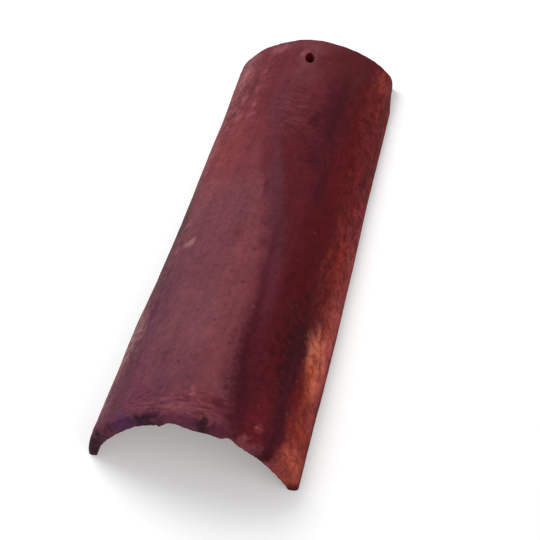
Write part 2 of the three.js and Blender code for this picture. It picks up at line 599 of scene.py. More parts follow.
@dataclass(frozen=True)
class Dent:
    """A place where a hand pressed a flank in or let it bulge.

    Attributes:
        side: 1 for the right flank and -1 for the left one.
        y: Its middle along the tile.
        spread: How far along the tile it shows.
        rise: How far up from the floor it shows.
        out: How far the foot moved outwards.
    """

    side: int
    y: float
    spread: float
    rise: float
    out: float

    def press(self) -> None:
        """Moves the foot of the open slab, and the flank above it less and less."""

        def on_foot(place: Vector, half: float) -> bool:
            """Returns whether a place is on the foot, within half a stretch of the dent."""
            near = abs(place.y - self.y) < half + TOUCH
            return near and place.z < TOUCH and place.x * self.side > 0

        work_in(on_foot, Vector((self.side * self.out, 0, 0)), self.spread, self.rise)


@dataclass(frozen=True)
class Tear:
    """A lump or a gap on the inner edge of the tail.

    Attributes:
        degrees: Its angle from the crown, right positive.
        spread: Half its width, as an angle.
        drop: How far the clay hangs into the hollow, or how much is missing where negative.
    """

    degrees: float
    spread: float
    drop: float

    def work(self, shell: TileShell) -> None:
        """Pulls the edge of the open slab down into the hollow, or pushes it up.

        Args:
            shell: The sizes of the slab.
        """
        arch, outer = shell.tail_inside, shell.tail_outside
        (x, z), (outer_x, outer_z) = arch.point(self.degrees), outer.point(self.degrees)
        into = Vector((x - outer_x, 0, z - outer_z)).normalized()
        a_degree = math.radians((arch.half_width + arch.height) / 2)
        half_step = 0.6  # degrees, so that a push always takes hold of a vertex
        edge_depth = 1.2 * MM

        def on_edge(place: Vector, half: float) -> bool:
            """Returns whether a place is on the inner edge, within half a stretch of the tear."""
            if place.y > shell.tail_y + edge_depth or not arch.carries(place):
                return False
            return abs(arch.degrees(place) - self.degrees) < half / a_degree + half_step

        reach = min(self.spread * a_degree, outer.height - arch.height)
        work_in(on_edge, into * self.drop, self.spread * a_degree, reach)


@dataclass
class HandWork:
    """What hands did to the soft clay: dents in the flanks and a torn tail edge.

    Attributes:
        dents: The dents.
        tears: The lumps and gaps.
    """

    dents: Sequence[Dent] = (
        Dent(side=1, y=228 * MM, spread=40 * MM, rise=14 * MM, out=-3 * MM),
        Dent(side=-1, y=228 * MM, spread=95 * MM, rise=28 * MM, out=2.7 * MM),
        Dent(side=1, y=-87 * MM, spread=130 * MM, rise=60 * MM, out=1.4 * MM),
        Dent(side=1, y=10 * MM, spread=60 * MM, rise=50 * MM, out=0.7 * MM),
        Dent(side=-1, y=-12 * MM, spread=160 * MM, rise=60 * MM, out=-1.8 * MM),
        Dent(side=-1, y=-105 * MM, spread=50 * MM, rise=50 * MM, out=1.2 * MM),
    )
    tears: Sequence[Tear] = (
        Tear(degrees=-62, spread=30, drop=1.3 * MM),
        Tear(degrees=-32, spread=9, drop=-1.1 * MM),
        Tear(degrees=-17.6, spread=2, drop=2.6 * MM),
        Tear(degrees=-15, spread=3, drop=1.2 * MM),
        Tear(degrees=-7, spread=9, drop=-2.1 * MM),
        Tear(degrees=13, spread=15, drop=2.7 * MM),
        Tear(degrees=32, spread=7, drop=-5.2 * MM),
        Tear(degrees=38, spread=5, drop=-1.6 * MM),
        Tear(degrees=69, spread=22, drop=2.2 * MM),
    )

    def shape(self, slab: bpy.types.Object, shell: TileShell) -> None:
        """Works the tail edge first and then the flanks.

        Args:
            slab: The fine slab.
            shell: Its sizes.
        """
        with editing(slab):
            for tear in self.tears:
                tear.work(shell)
            for dent in self.dents:
                dent.press()


@dataclass(frozen=True)
class Pit:
    """A small pit or pimple that one finger tip or one grain left on the outer face.

    Attributes:
        degrees: Its angle from the crown, right positive.
        y: Its place along the tile.
        reach: Half its width.
        rise: How far its middle stands out, or lies in where negative.
    """

    degrees: float
    y: float
    reach: float
    rise: float

    def press(self, shell: TileShell) -> None:
        """Moves the outer face of the open slab in or out there.

        Args:
            shell: The sizes of the slab.
        """
        x, z = shell.faces_at(self.y)[0].point(self.degrees)
        middle = Vector((x, self.y, z))
        out = Vector((x, 0, z)).normalized()
        finger_tip = 1.6 * MM
        if select_vertices(lambda place: (place - middle).length < finger_tip):
            push(out * self.rise, self.reach)


class Zone(Enum):
    """A part of the surface that a relief is kept to, by the name of its vertex group."""

    EVERYWHERE = ""
    OUTSIDE = "outside"
    UNDERSIDE = "underside"
    ARRISES = "arrises"
    TAIL = "tail"
    WIPED = "wiped"


@dataclass(frozen=True)
class Relief:
    """One layer of random relief, worked into the mesh.

    Attributes:
        name: What it is called.
        width: Size of its lumps across and up.
        length: Their size along the tile.
        height: From its lowest to its highest places.
        zone: Where it is.
        detail: How many finer octaves ride on it.
    """

    name: str
    width: float
    length: float
    height: float
    zone: Zone = Zone.EVERYWHERE
    detail: int = 2

    def work(self, slab: bpy.types.Object) -> None:
        """Works the layer into the slab, by a cloud pattern stretched to the size of its lumps.

        Args:
            slab: The fine slab, with a vertex group for each zone.
        """
        pick()
        bpy.ops.object.empty_add(type="PLAIN_AXES")
        stretch = bpy.context.object
        stretch.scale = (self.width, self.length, self.width)
        bpy.context.view_layer.update()
        pattern = bpy.data.textures.new(self.name, "CLOUDS")
        pattern.noise_scale = 1.0
        pattern.noise_depth = self.detail
        apply_modifier(
            slab,
            "DISPLACE",
            texture=pattern,
            texture_coords="OBJECT",
            texture_coords_object=stretch,
            vertex_group=self.zone.value,
            strength=self.height,
        )
        bpy.data.textures.remove(pattern)
        bpy.data.objects.remove(stretch)


@dataclass
class SurfaceRelief:
    """The surface that hands, mould sand and grog left in the clay.

    Attributes:
        pits: Single marks on the outer face.
        layers: Random relief, coarse to fine.
        wiped_from: Lowest place along the tile of the patch that was wiped across.
        wiped_to: Its highest place.
        wiped_half_width: Half its width.
    """

    pits: Sequence[Pit] = (
        Pit(degrees=-6, y=-33 * MM, reach=4 * MM, rise=-0.9 * MM),
        Pit(degrees=-50, y=-28 * MM, reach=5 * MM, rise=0.7 * MM),
        Pit(degrees=4, y=-200 * MM, reach=4 * MM, rise=0.8 * MM),
        Pit(degrees=28, y=75 * MM, reach=7 * MM, rise=-0.8 * MM),
        Pit(degrees=22, y=121 * MM, reach=6 * MM, rise=-0.7 * MM),
        Pit(degrees=42, y=222 * MM, reach=48 * MM, rise=1.3 * MM),
        Pit(degrees=-28, y=222 * MM, reach=20 * MM, rise=-0.6 * MM),
    )
    layers: Sequence[Relief] = (
        Relief("palm_waves", 60 * MM, 150 * MM, 0.9 * MM, detail=1),
        Relief("slab_lumps", 16 * MM, 26 * MM, 0.5 * MM),
        Relief("wipe_drags", 5 * MM, 110 * MM, 0.35 * MM, Zone.OUTSIDE, detail=1),
        Relief("cross_wipes", 60 * MM, 4 * MM, 0.5 * MM, Zone.WIPED, detail=1),
        Relief("tail_wrinkles", 30 * MM, 4 * MM, 0.9 * MM, Zone.TAIL),
        Relief("arris_crumbs", 7 * MM, 7 * MM, 1.1 * MM, Zone.ARRISES, detail=3),
        Relief("mould_sand", 3.5 * MM, 3.5 * MM, 1.0 * MM, Zone.UNDERSIDE),
        Relief("grog", 3.2 * MM, 4 * MM, 0.3 * MM, Zone.OUTSIDE, detail=1),
    )
    wiped_from: float = 80 * MM
    wiped_to: float = 160 * MM
    wiped_half_width: float = 15 * MM

    def work(self, slab: bpy.types.Object, shell: TileShell) -> None:
        """Presses the single marks, works in every layer and seats the feet on the floor again.

        Args:
            slab: The fine slab.
            shell: Its sizes.
        """
        with editing(slab):
            for pit in self.pits:
                pit.press(shell)
        self._mark_zones(slab, shell)
        for layer in self.layers:
            layer.work(slab)
        slab.vertex_groups.clear()
        with editing(slab):
            select_vertices(lambda place: place.z < NEAR / 2)
            bpy.ops.transform.resize(value=(1, 1, 0), center_override=(0, 0, 0))

    def _mark_zones(self, slab: bpy.types.Object, shell: TileShell) -> None:
        """Adds a vertex group for each zone, with soft borders.

        Args:
            slab: The fine slab.
            shell: Its sizes.
        """
        groups = {zone: slab.vertex_groups.new(name=zone.value) for zone in Zone if zone.value}
        for vertex in slab.data.vertices:
            for zone, weight in self._weights(vertex.co, shell).items():
                if weight > 0.0:
                    groups[zone].add([vertex.index], weight, "REPLACE")

    def _weights(self, place: Vector, shell: TileShell) -> dict[Zone, float]:
        """Finds how far a place belongs to each zone.

        Args:
            place: The place.
            shell: The sizes of the slab.

        Returns:
            The weight of each zone that the place may belong to.
        """
        end_fade, floor_fade, wiped_fade, tail_reach = 12 * MM, 8 * MM, 20 * MM, 38 * MM
        end_crumbs, foot_crumbs, foot_share = 9 * MM, 5 * MM, 0.5
        from_tail, from_head = place.y - shell.tail_y, shell.head_y - place.y
        off_ends = smooth_step(min(from_tail, from_head) / end_fade)
        off_floor = smooth_step(place.z / floor_fade)
        near_end = 1.0 - smooth_step(min(from_tail, 2 * from_head) / end_crumbs)
        near_foot = foot_share * (1.0 - smooth_step(place.z / foot_crumbs))
        weights = {Zone.ARRISES: max(near_end, near_foot)}
        if shell.is_outside(place) and place.z > MM / 2:
            beside = smooth_step((abs(place.x) - self.wiped_half_width) / wiped_fade)
            below = smooth_step((place.y - self.wiped_from) / wiped_fade)
            above = smooth_step((self.wiped_to - place.y) / wiped_fade)
            weights[Zone.OUTSIDE] = off_ends * off_floor
            weights[Zone.TAIL] = 1.0 - smooth_step(from_tail / tail_reach)
            weights[Zone.WIPED] = (1.0 - beside) * below * above
        else:
            weights[Zone.UNDERSIDE] = off_floor
        return weights


# ------------------------------------------------------------------------------ node wiring


class Tone(Enum):
    """The colours that the kiln left in the clay, and the tones of some painted shade and
    highlights, as red, green and blue out of 255.
    """

    ROSE = (108, 54, 62)
    WARM_ROSE = (118, 57, 64)
    DUSTY_ROSE = (114, 64, 72)
    BRICK_ROSE = (116, 44, 48)
    UPPER_ROSE = (100, 34, 43)
    PALE_ROSE = (150, 80, 86)
    SHELL_PINK = (166, 88, 95)
    MAUVE = (98, 51, 65)
    SMOKE_BLUE = (86, 38, 49)
    DUSK = (76, 26, 54)
    LILAC = (104, 56, 82)
    PURPLE = (82, 42, 78)
    DIM_MAUVE = (80, 37, 50)
    CREAM = (150, 100, 98)
    # painted shade, laid along the far left edge
    DIM_EDGE_MAUVE = (76, 38, 46)
    PAINTED_SHADE_EDGE = (54, 28, 36)
    PALE_FLECK = (138, 96, 96)
    WIPED = (94, 31, 40)
    HEAD_RIM = (112, 58, 63)
    MAROON = (85, 22, 31)
    CREASE_ROSE = (92, 33, 47)
    WINE = (72, 12, 28)
    BROWN_SHOULDER = (82, 27, 29)
    PLUM = (60, 7, 20)
    DEEP_MAROON = (77, 6, 13)
    EMBER = (84, 8, 9)
    SOOT = (44, 3, 9)
    RED = (112, 24, 31)
    CRIMSON = (104, 22, 30)
    RUST = (122, 38, 35)
    PINK_RED = (128, 28, 42)
    PINK = (170, 70, 74)
    ORANGE_RED = (134, 34, 22)
    ORANGE = (178, 78, 54)
    SOFT_ORANGE = (146, 60, 48)
    PEACH = (200, 114, 90)
    BROWN_FLECK = (118, 34, 14)
    BURNT_ORANGE = (150, 54, 38)
    SALMON = (168, 74, 68)
    TAIL_ORANGE = (174, 78, 60)
    TAIL_PLUM = (62, 26, 44)
    TAIL_BLACK = (38, 12, 26)
    TAIL_MAUVE = (104, 46, 68)
    MAGENTA_ROSE = (98, 42, 63)
    LIP_PINK = (136, 64, 70)
    BARE_CLAY = (142, 72, 54)
    PALE_SAND = (176, 128, 104)
    GROG = (158, 92, 88)
    IRON = (44, 14, 20)

    def paint(self) -> tuple[float, float, float, float]:
        """Takes the screen's gamma out.

        Returns:
            The colour as a shader takes it.
        """
        red, green, blue = (
            share / 12.92 if share <= 0.04045 else ((share + 0.055) / 1.055) ** 2.4
            for share in (part / 255 for part in self.value)
        )
        return (red, green, blue, 1.0)


Socket = bpy.types.NodeSocket
Feed = bpy.types.NodeSocket | Tone | float | Sequence[float]


def label(name: str) -> str:
    """Returns a name in the way that sockets are labelled, such as Half Width for half_width."""
    return name.replace("_", " ").title()


class Bench:
    """Wires one node tree. Most methods add a node and return what comes out of it."""

    def __init__(self, tree: bpy.types.NodeTree) -> None:
        """Takes the tree to wire."""
        self.tree = tree

    def feed(self, node: bpy.types.Node, feeds: Mapping[int | str, Feed]) -> None:
        """Feeds a node's inputs: links what is a socket, and sets a value.

        Args:
            node: The node.
            feeds: What goes in, by the input's name or number.
        """
        for key, feed in feeds.items():
            if isinstance(feed, bpy.types.NodeSocket):
                self.tree.links.new(feed, node.inputs[key])
            else:
                node.inputs[key].default_value = feed.paint() if isinstance(feed, Tone) else feed

    def add(
        self, kind: str, feeds: Mapping[int | str, Feed], **settings: object
    ) -> bpy.types.Node:
        """Adds a node, in rows of eight.

        Args:
            kind: The node's type.
            feeds: What goes into its inputs.
            settings: Its properties by name.

        Returns:
            The node.
        """
        node = self.tree.nodes.new(kind)
        column, row = divmod(len(self.tree.nodes), 8)
        node.location = (220 * column, -190 * row)
        for name, value in settings.items():
            setattr(node, name, value)
        self.feed(node, feeds)
        return node

    def use(self, group: bpy.types.NodeTree, **feeds: Feed) -> bpy.types.NodeOutputs:
        """Places a node group."""
        named = {label(name): feed for name, feed in feeds.items()}
        return self.add("ShaderNodeGroup", named, node_tree=group).outputs

    def calc(self, operation: str, *feeds: Feed) -> Socket:
        """Calculates one number from one, two or three."""
        return self.add("ShaderNodeMath", dict(enumerate(feeds)), operation=operation).outputs[0]

    def add_up(self, start: Feed, *parts: tuple[Feed, float]) -> Feed:
        """Adds some numbers to a first one.

        Args:
            start: The first one.
            parts: The others, each with its weight.

        Returns:
            The sum.
        """
        for part, weight in parts:
            start = self.calc("MULTIPLY_ADD", part, weight, start)
        return start

    def vary(self, start: Feed, *noises: tuple[Feed, float]) -> Feed:
        """Adds some noises round 0.5 to a number, but keeps its mean.

        Args:
            start: The number.
            noises: The noises, each with its weight.

        Returns:
            The sum.
        """
        return self.add_up(
            start, *((self.calc("SUBTRACT", noise, 0.5), weight) for noise, weight in noises)
        )

    def far(self, side: Feed, up: Feed) -> Socket:
        """Calculates how far off two numbers are, measured square to each other."""
        square = self.calc("MULTIPLY_ADD", up, up, self.calc("MULTIPLY", side, side))
        return self.calc("SQRT", square)

    def ramp(
        self, value: Feed, start: Feed, end: Feed, low: Feed = 0.0, high: Feed = 1.0
    ) -> Socket:
        """Rises softly from one number to another.

        Args:
            value: What it follows.
            start: The value at which it starts to rise.
            end: The value at which it has risen.
            low: Where it comes from.
            high: Where it gets to.

        Returns:
            The number.
        """
        feeds = {0: value, 1: start, 2: end, 3: low, 4: high}
        node = self.add("ShaderNodeMapRange", feeds, interpolation_type="SMOOTHSTEP")
        return node.outputs[0]

    def vector(self, x: Feed, y: Feed, z: Feed) -> Socket:
        """Joins three numbers."""
        return self.add("ShaderNodeCombineXYZ", {0: x, 1: y, 2: z}).outputs[0]

    def parts(self, place: Feed) -> bpy.types.NodeOutputs:
        """Splits a place into its three numbers."""
        return self.add("ShaderNodeSeparateXYZ", {0: place}).outputs

    def calc_place(self, operation: str, *feeds: Feed) -> Socket:
        """Calculates one place from one, two or three."""
        node = self.add("ShaderNodeVectorMath", dict(enumerate(feeds)), operation=operation)
        return node.outputs[0]

    def tint(self, share: Feed, under: Feed, over: Feed, way: str = "MIX") -> Socket:
        """Lays one colour over another.

        Args:
            share: How much of it.
            under: The colour below.
            over: The colour above.
            way: One of the mixing ways.

        Returns:
            The colour that shows.
        """
        feeds = {0: share, 6: under, 7: over}
        node = self.add("ShaderNodeMix", feeds, data_type="RGBA", blend_type=way)
        return node.outputs[2]

    def seen(self) -> Socket:
        """Tells what is looked at from what only lights the rest.

        Returns:
            1 where it is looked at, also in a gloss or through glass, else 0.
        """
        rays = self.add("ShaderNodeLightPath", {}).outputs
        seen = self.calc("MAXIMUM", rays["Is Camera Ray"], rays["Is Glossy Ray"])
        return self.calc("MAXIMUM", seen, rays["Is Transmission Ray"])


class SocketKind(Enum):
    """What a socket of a node group carries."""

    NUMBER = "NodeSocketFloat"
    VECTOR = "NodeSocketVector"


NUMBER, VECTOR = SocketKind.NUMBER, SocketKind.VECTOR


def new_group(
    name: str, inputs: Mapping[str, SocketKind], outputs: Mapping[str, SocketKind]
) -> tuple[Bench, bpy.types.NodeOutputs, bpy.types.Node]:
    """Starts a node group.

    Args:
        name: What the group is called.
        inputs: Its inputs.
        outputs: Its outputs.

    Returns:
        The bench to wire it on, what is given to it, and the node to feed with what it puts out.
    """
    tree = bpy.data.node_groups.new(name, "ShaderNodeTree")
    for way, sockets in (("INPUT", inputs), ("OUTPUT", outputs)):
        for socket, kind in sockets.items():
            tree.interface.new_socket(name=socket, in_out=way, socket_type=kind.value)
    bench = Bench(tree)
    return bench, bench.add("NodeGroupInput", {}).outputs, bench.add("NodeGroupOutput", {})


def new_material(name: str) -> tuple[bpy.types.Material, Bench, bpy.types.Node]:
    """Starts a material.

    Args:
        name: What it is called.

    Returns:
        The material, the bench to wire it on and its shader.
    """
    material = bpy.data.materials.new(name)
    material.use_nodes = True
    return material, Bench(material.node_tree), material.node_tree.nodes["Principled BSDF"]


# ------------------------------------------------------------------------------ fired clay


@dataclass(frozen=True)
class Cloud:
    """A noise round 0.5 in the clay.

    Attributes:
        width: Of its lumps across and up, in millimetres.
        length: Of its lumps along the tile, in millimetres.
        detail: How many finer octaves ride on them.
        roughness: How strong these are.
        distortion: How far the lumps are drawn about.
        shift: Moves it, so that it differs from another one.
    """

    width: float
    length: float
    detail: float = 2.0
    roughness: float = 0.5
    distortion: float = 0.0
    shift: float = 0.0


class Grain(Enum):
    """The noises that vary the clay everywhere."""

    GRIT = Cloud(0.9, 0.9)
    FINE_SAND = Cloud(1.1, 1.1)
    SKIN = Cloud(1.6, 1.6, 4)
    FINE_MOTTLE = Cloud(1.8, 2.4)
    MOULD_SAND = Cloud(2.5, 2.5, 3)
    MOTTLE = Cloud(4.5, 6, 3)
    BLOTS = Cloud(6, 4, 4)
    TEAR = Cloud(7, 11, 4)
    BLOTCH = Cloud(16, 22, 3)
    DRIFT = Cloud(38, 60)
    KILN_CLOUDS = Cloud(40, 70, 4)
    STREAKS = Cloud(4.5, 110, 3, 0.6, 0.4)
    WIDE_STREAKS = Cloud(11, 160, 3, 0.6, 0.4)


class Flecks(Enum):
    """The noises whose peaks are the flecks that a stain may be broken into."""

    ROUND = Cloud(8, 8, 4, 0.58)
    ROUND_TOO = Cloud(8.5, 9, 4, 0.58, shift=4.3)
    SMALL = Cloud(4.5, 5, 4, 0.58, shift=8.9)
    LARGE = Cloud(12, 9, 4, 0.58, shift=13.1)
    LONG = Cloud(6, 20, 4, 0.58, shift=17.7)
    CROSSWISE = Cloud(12, 4, 4, 0.58, shift=21.3)
    CROSSWISE_TOO = Cloud(11, 3.5, 4, 0.58, shift=26.9)


@dataclass(frozen=True)
class Patch:
    """A stain, or a painted shade or highlight, of one tone with a soft or ragged border.

    Attributes:
        tone: Its colour.
        across: Its middle, in degrees from the crown, right positive.
        along: Its middle along the tile, in millimetres.
        half_width: Half its width in degrees.
        half_length: Half its length in millimetres.
        strength: How far it covers what is under it.
        soft: Share of its size over which it fades.
        torn: How far its border is torn, as a share of its size.
        lean: Degrees that it leans to the right for each millimetre towards the head.
        flecks: The flecks that it is broken into, or nothing for a whole stain.
        cover: Share of it that the flecks cover.
    """

    tone: Tone
    across: float
    along: float
    half_width: float
    half_length: float
    strength: float = 0.8
    soft: float = 0.6
    torn: float = 0.4
    lean: float = 0.0
    flecks: Flecks | None = None
    cover: float = 0.4

    def fleck_range(self) -> tuple[float, float]:
        """Finds where a cloud is high enough for the flecks to cover their share.

        Returns:
            The values between which they fade in.
        """
        peak, span, fade = 0.605, 0.21, 0.05  # nearly all of a cloud lies within the span
        middle = peak - span * self.cover
        return (middle - fade, middle + fade)


PATCH_SIZES = (
    "across", "along", "half_width", "half_length", "strength", "soft", "torn", "lean",
)  # fmt: skip


@dataclass(frozen=True)
class Specks:
    """Single grains of one kind.

    Attributes:
        tone: Their colour.
        spacing: Millimetres from one place that may hold a grain to the next.
        share: How many of these places hold one.
        strength: How far they cover the clay.
        stand: How far they stand out in the bump, or lie in where negative.
    """

    tone: Tone
    spacing: float
    share: float
    strength: float
    stand: float = 0.0


def clay_places_group(shell: TileShell) -> bpy.types.NodeTree:
    """Makes the group that says where on the arch a point lies.

    Args:
        shell: The sizes of the slab.

    Returns:
        A group that puts out degrees across, millimetres along, the two as a flat place in
        millimetres, the solid place in millimetres, and 1 on the underside.
    """
    bench, _, sink = new_group(
        "clay_places",
        {},
        {"Across": NUMBER, "Along": NUMBER, "Flat": VECTOR, "Solid": VECTOR, "Inside": NUMBER},
    )
    tail, head = shell.tail_outside, shell.head_outside
    place = bench.add("ShaderNodeTexCoord", {}).outputs["Object"]
    solid = bench.calc_place("MULTIPLY", place, [1 / MM] * 3)
    x, along, z = bench.parts(solid)
    share = bench.calc("MULTIPLY_ADD", along, MM / shell.length, 0.5)
    half_width = bench.add_up(
        tail.half_width / MM, (share, (head.half_width - tail.half_width) / MM)
    )
    height = bench.add_up(tail.height / MM, (share, (head.height - tail.height) / MM))
    sideways = bench.calc("DIVIDE", bench.calc("ABSOLUTE", x), half_width)
    upwards = bench.calc("DIVIDE", bench.calc("MAXIMUM", z, 0.0), height)
    sine, cosine = (bench.calc("POWER", part, tail.fullness / 2) for part in (sideways, upwards))
    angle = bench.calc("DEGREES", bench.calc("ARCTAN2", sine, cosine))
    across = bench.calc("MULTIPLY", angle, bench.calc("SIGN", x))
    level = bench.calc("POWER", bench.far(sine, cosine), 2 / tail.fullness)
    around = (tail.half_width + tail.height + head.half_width + head.height) / 4 / MM
    flat = bench.vector(
        bench.calc("MULTIPLY", across, math.radians(around)),
        along,
        bench.calc("MULTIPLY", level, around),
    )
    outer_face, inner_face = 0.945, 0.92  # the levels between which the wall's two faces part
    inside = bench.ramp(level, outer_face, inner_face)
    feeds = {"Across": across, "Along": along, "Flat": flat, "Solid": solid, "Inside": inside}
    bench.feed(sink, feeds)
    return bench.tree


def clay_patch_group() -> bpy.types.NodeTree:
    """Makes the group for the mask of one stain, an ellipse with a torn, soft border.

    Returns:
        The group.
    """
    names = ("here_across", "here_along", "tear", *PATCH_SIZES)
    bench, given, sink = new_group(
        "clay_patch", {label(name): NUMBER for name in names}, {"Mask": NUMBER}
    )
    up = bench.calc("SUBTRACT", given["Here Along"], given["Along"])
    side = bench.calc("SUBTRACT", given["Here Across"], given["Across"])
    side = bench.calc("SUBTRACT", side, bench.calc("MULTIPLY", up, given["Lean"]))
    up = bench.calc("DIVIDE", up, given["Half Length"])
    side = bench.calc("DIVIDE", side, given["Half Width"])
    torn = bench.calc("MULTIPLY_ADD", given["Tear"], given["Torn"], bench.far(side, up))
    outer = bench.calc("ADD", 1.0, given["Soft"])
    inner = bench.calc("SUBTRACT", 1.0, given["Soft"])
    mask = bench.calc("MULTIPLY", bench.ramp(torn, outer, inner), given["Strength"])
    bench.feed(sink, {"Mask": mask})
    return bench.tree


def clay_cloud_group() -> bpy.types.NodeTree:
    """Makes the group for a noise round 0.5 with lumps of one width and length.

    Returns:
        The group.
    """
    own = ("Detail", "Roughness", "Distortion")
    numbers = dict.fromkeys(("Width", "Length", "Shift", *own), NUMBER)
    bench, given, sink = new_group("clay_cloud", {"Place": VECTOR, **numbers}, {"Cloud": NUMBER})
    size = bench.vector(given["Width"], given["Length"], given["Width"])
    place = bench.calc_place("DIVIDE", given["Place"], size)
    place = bench.calc_place("ADD", place, given["Shift"])
    feeds = {"Vector": place, "Scale": 1.0, **{name: given[name] for name in own}}
    bench.feed(sink, {"Cloud": bench.add("ShaderNodeTexNoise", feeds).outputs[0]})
    return bench.tree


def clay_specks_group() -> bpy.types.NodeTree:
    """Makes the group for single grains: a few cells of a cell pattern, each with a dot inside.

    Returns:
        The group.
    """
    bench, given, sink = new_group(
        "clay_specks", {"Solid": VECTOR, "Spacing": NUMBER, "Share": NUMBER}, {"Mask": NUMBER}
    )
    smallest, varying, core = 0.14, 0.22, 0.4  # of a dot, in cells, and how much of it is whole
    scale = bench.calc("DIVIDE", 1.0, given["Spacing"])
    cells = bench.add("ShaderNodeTexVoronoi", {"Vector": given["Solid"], "Scale": scale}).outputs
    draws = bench.add("ShaderNodeSeparateColor", {0: cells["Color"]}).outputs
    chosen = bench.calc("LESS_THAN", draws[0], given["Share"])
    size = bench.calc("MULTIPLY_ADD", draws[1], varying, smallest)
    dot = bench.ramp(cells["Distance"], size, bench.calc("MULTIPLY", size, core))
    bench.feed(sink, {"Mask": bench.calc("MULTIPLY", dot, chosen)})
    return bench.tree


class Canvas:
    """The bench of the clay's material with the fields that its layers read.

    Attributes:
        bench: The bench.
        solid: The place in millimetres.
        side: Degrees from the crown, on either side.
        across: Degrees across, drifting, so that no border runs straight.
        along: Millimetres along, torn a little.
        inside: 1 on the underside, except close to the ends.
        grit: Noise as fine as sand.
        tear: Noise round 0 for ragged borders.
        streaks: Narrow marks along the tile.
        wide_streaks: Wide ones.
        flecks: The noise that each kind of flecks is cut from.
    """

    def __init__(self, bench: Bench, shell: TileShell) -> None:
        """Wires the fields.

        Args:
            bench: The material's bench.
            shell: The sizes of the slab.
        """
        self.bench = bench
        self._cloud_group = clay_cloud_group()
        self._patch_group = clay_patch_group()
        self._specks_group = clay_specks_group()
        places = bench.use(clay_places_group(shell))
        self.solid = places["Solid"]
        self.grit = self.noise(Grain.GRIT)
        self.tear = bench.vary(0.0, (self.noise(Grain.TEAR), 3.0), (self.grit, 0.9))
        self.side = bench.calc("ABSOLUTE", places["Across"])
        self.across = bench.vary(places["Across"], (self.noise(Grain.DRIFT), 5.0))
        self.along = bench.add_up(places["Along"], (self.tear, 3.0))
        from_middle = bench.calc("ABSOLUTE", places["Along"])
        from_end = bench.calc("SUBTRACT", shell.length / MM / 2, from_middle)
        off_end = bench.ramp(bench.add_up(from_end, (self.tear, 2.0)), 2.0, 7.0)
        self.inside = bench.calc("MULTIPLY", places["Inside"], off_end)
        self.streaks, self.wide_streaks = (
            bench.ramp(self.cloud(places["Flat"], grain.value), 0.25, 0.75)
            for grain in (Grain.STREAKS, Grain.WIDE_STREAKS)
        )
        wander = bench.add("ShaderNodeTexNoise", {"Vector": self.solid, "Scale": 0.05})
        wander = bench.calc_place("MULTIPLY_ADD", wander.outputs["Color"], [7.0] * 3, self.solid)
        self.flecks = {flecks: self.cloud(wander, flecks.value) for flecks in Flecks}

    def cloud(self, place: Socket, cloud: Cloud) -> Socket:
        """Makes a noise round 0.5 at a place."""
        return self.bench.use(self._cloud_group, place=place, **asdict(cloud))[0]

    def noise(self, grain: Grain) -> Socket:
        """Makes a noise round 0.5 that goes right through the clay."""
        return self.cloud(self.solid, grain.value)

    def lay(self, colour: Socket, patches: Sequence[Patch]) -> Socket:
        """Lays stains, with painted shade and highlights among them, over a colour, one after the
        other.

        Args:
            colour: What is under them.
            patches: The stains, with painted shade and highlights among them.

        Returns:
            The colour.
        """
        for patch in patches:
            mask = self.bench.use(
                self._patch_group,
                here_across=self.across,
                here_along=self.along,
                tear=self.tear,
                **{size: getattr(patch, size) for size in PATCH_SIZES},
            )[0]
            if patch.flecks is not None:
                broken = self.bench.ramp(self.flecks[patch.flecks], *patch.fleck_range())
                mask = self.bench.calc("MULTIPLY", mask, broken)
            colour = self.bench.tint(mask, colour, patch.tone)
        return colour

    def scatter(self, specks: Specks) -> Socket:
        """Scatters one kind of grains.

        Args:
            specks: The kind.

        Returns:
            Their mask.
        """
        return self.bench.use(
            self._specks_group, solid=self.solid, spacing=specks.spacing, share=specks.share
        )[0]
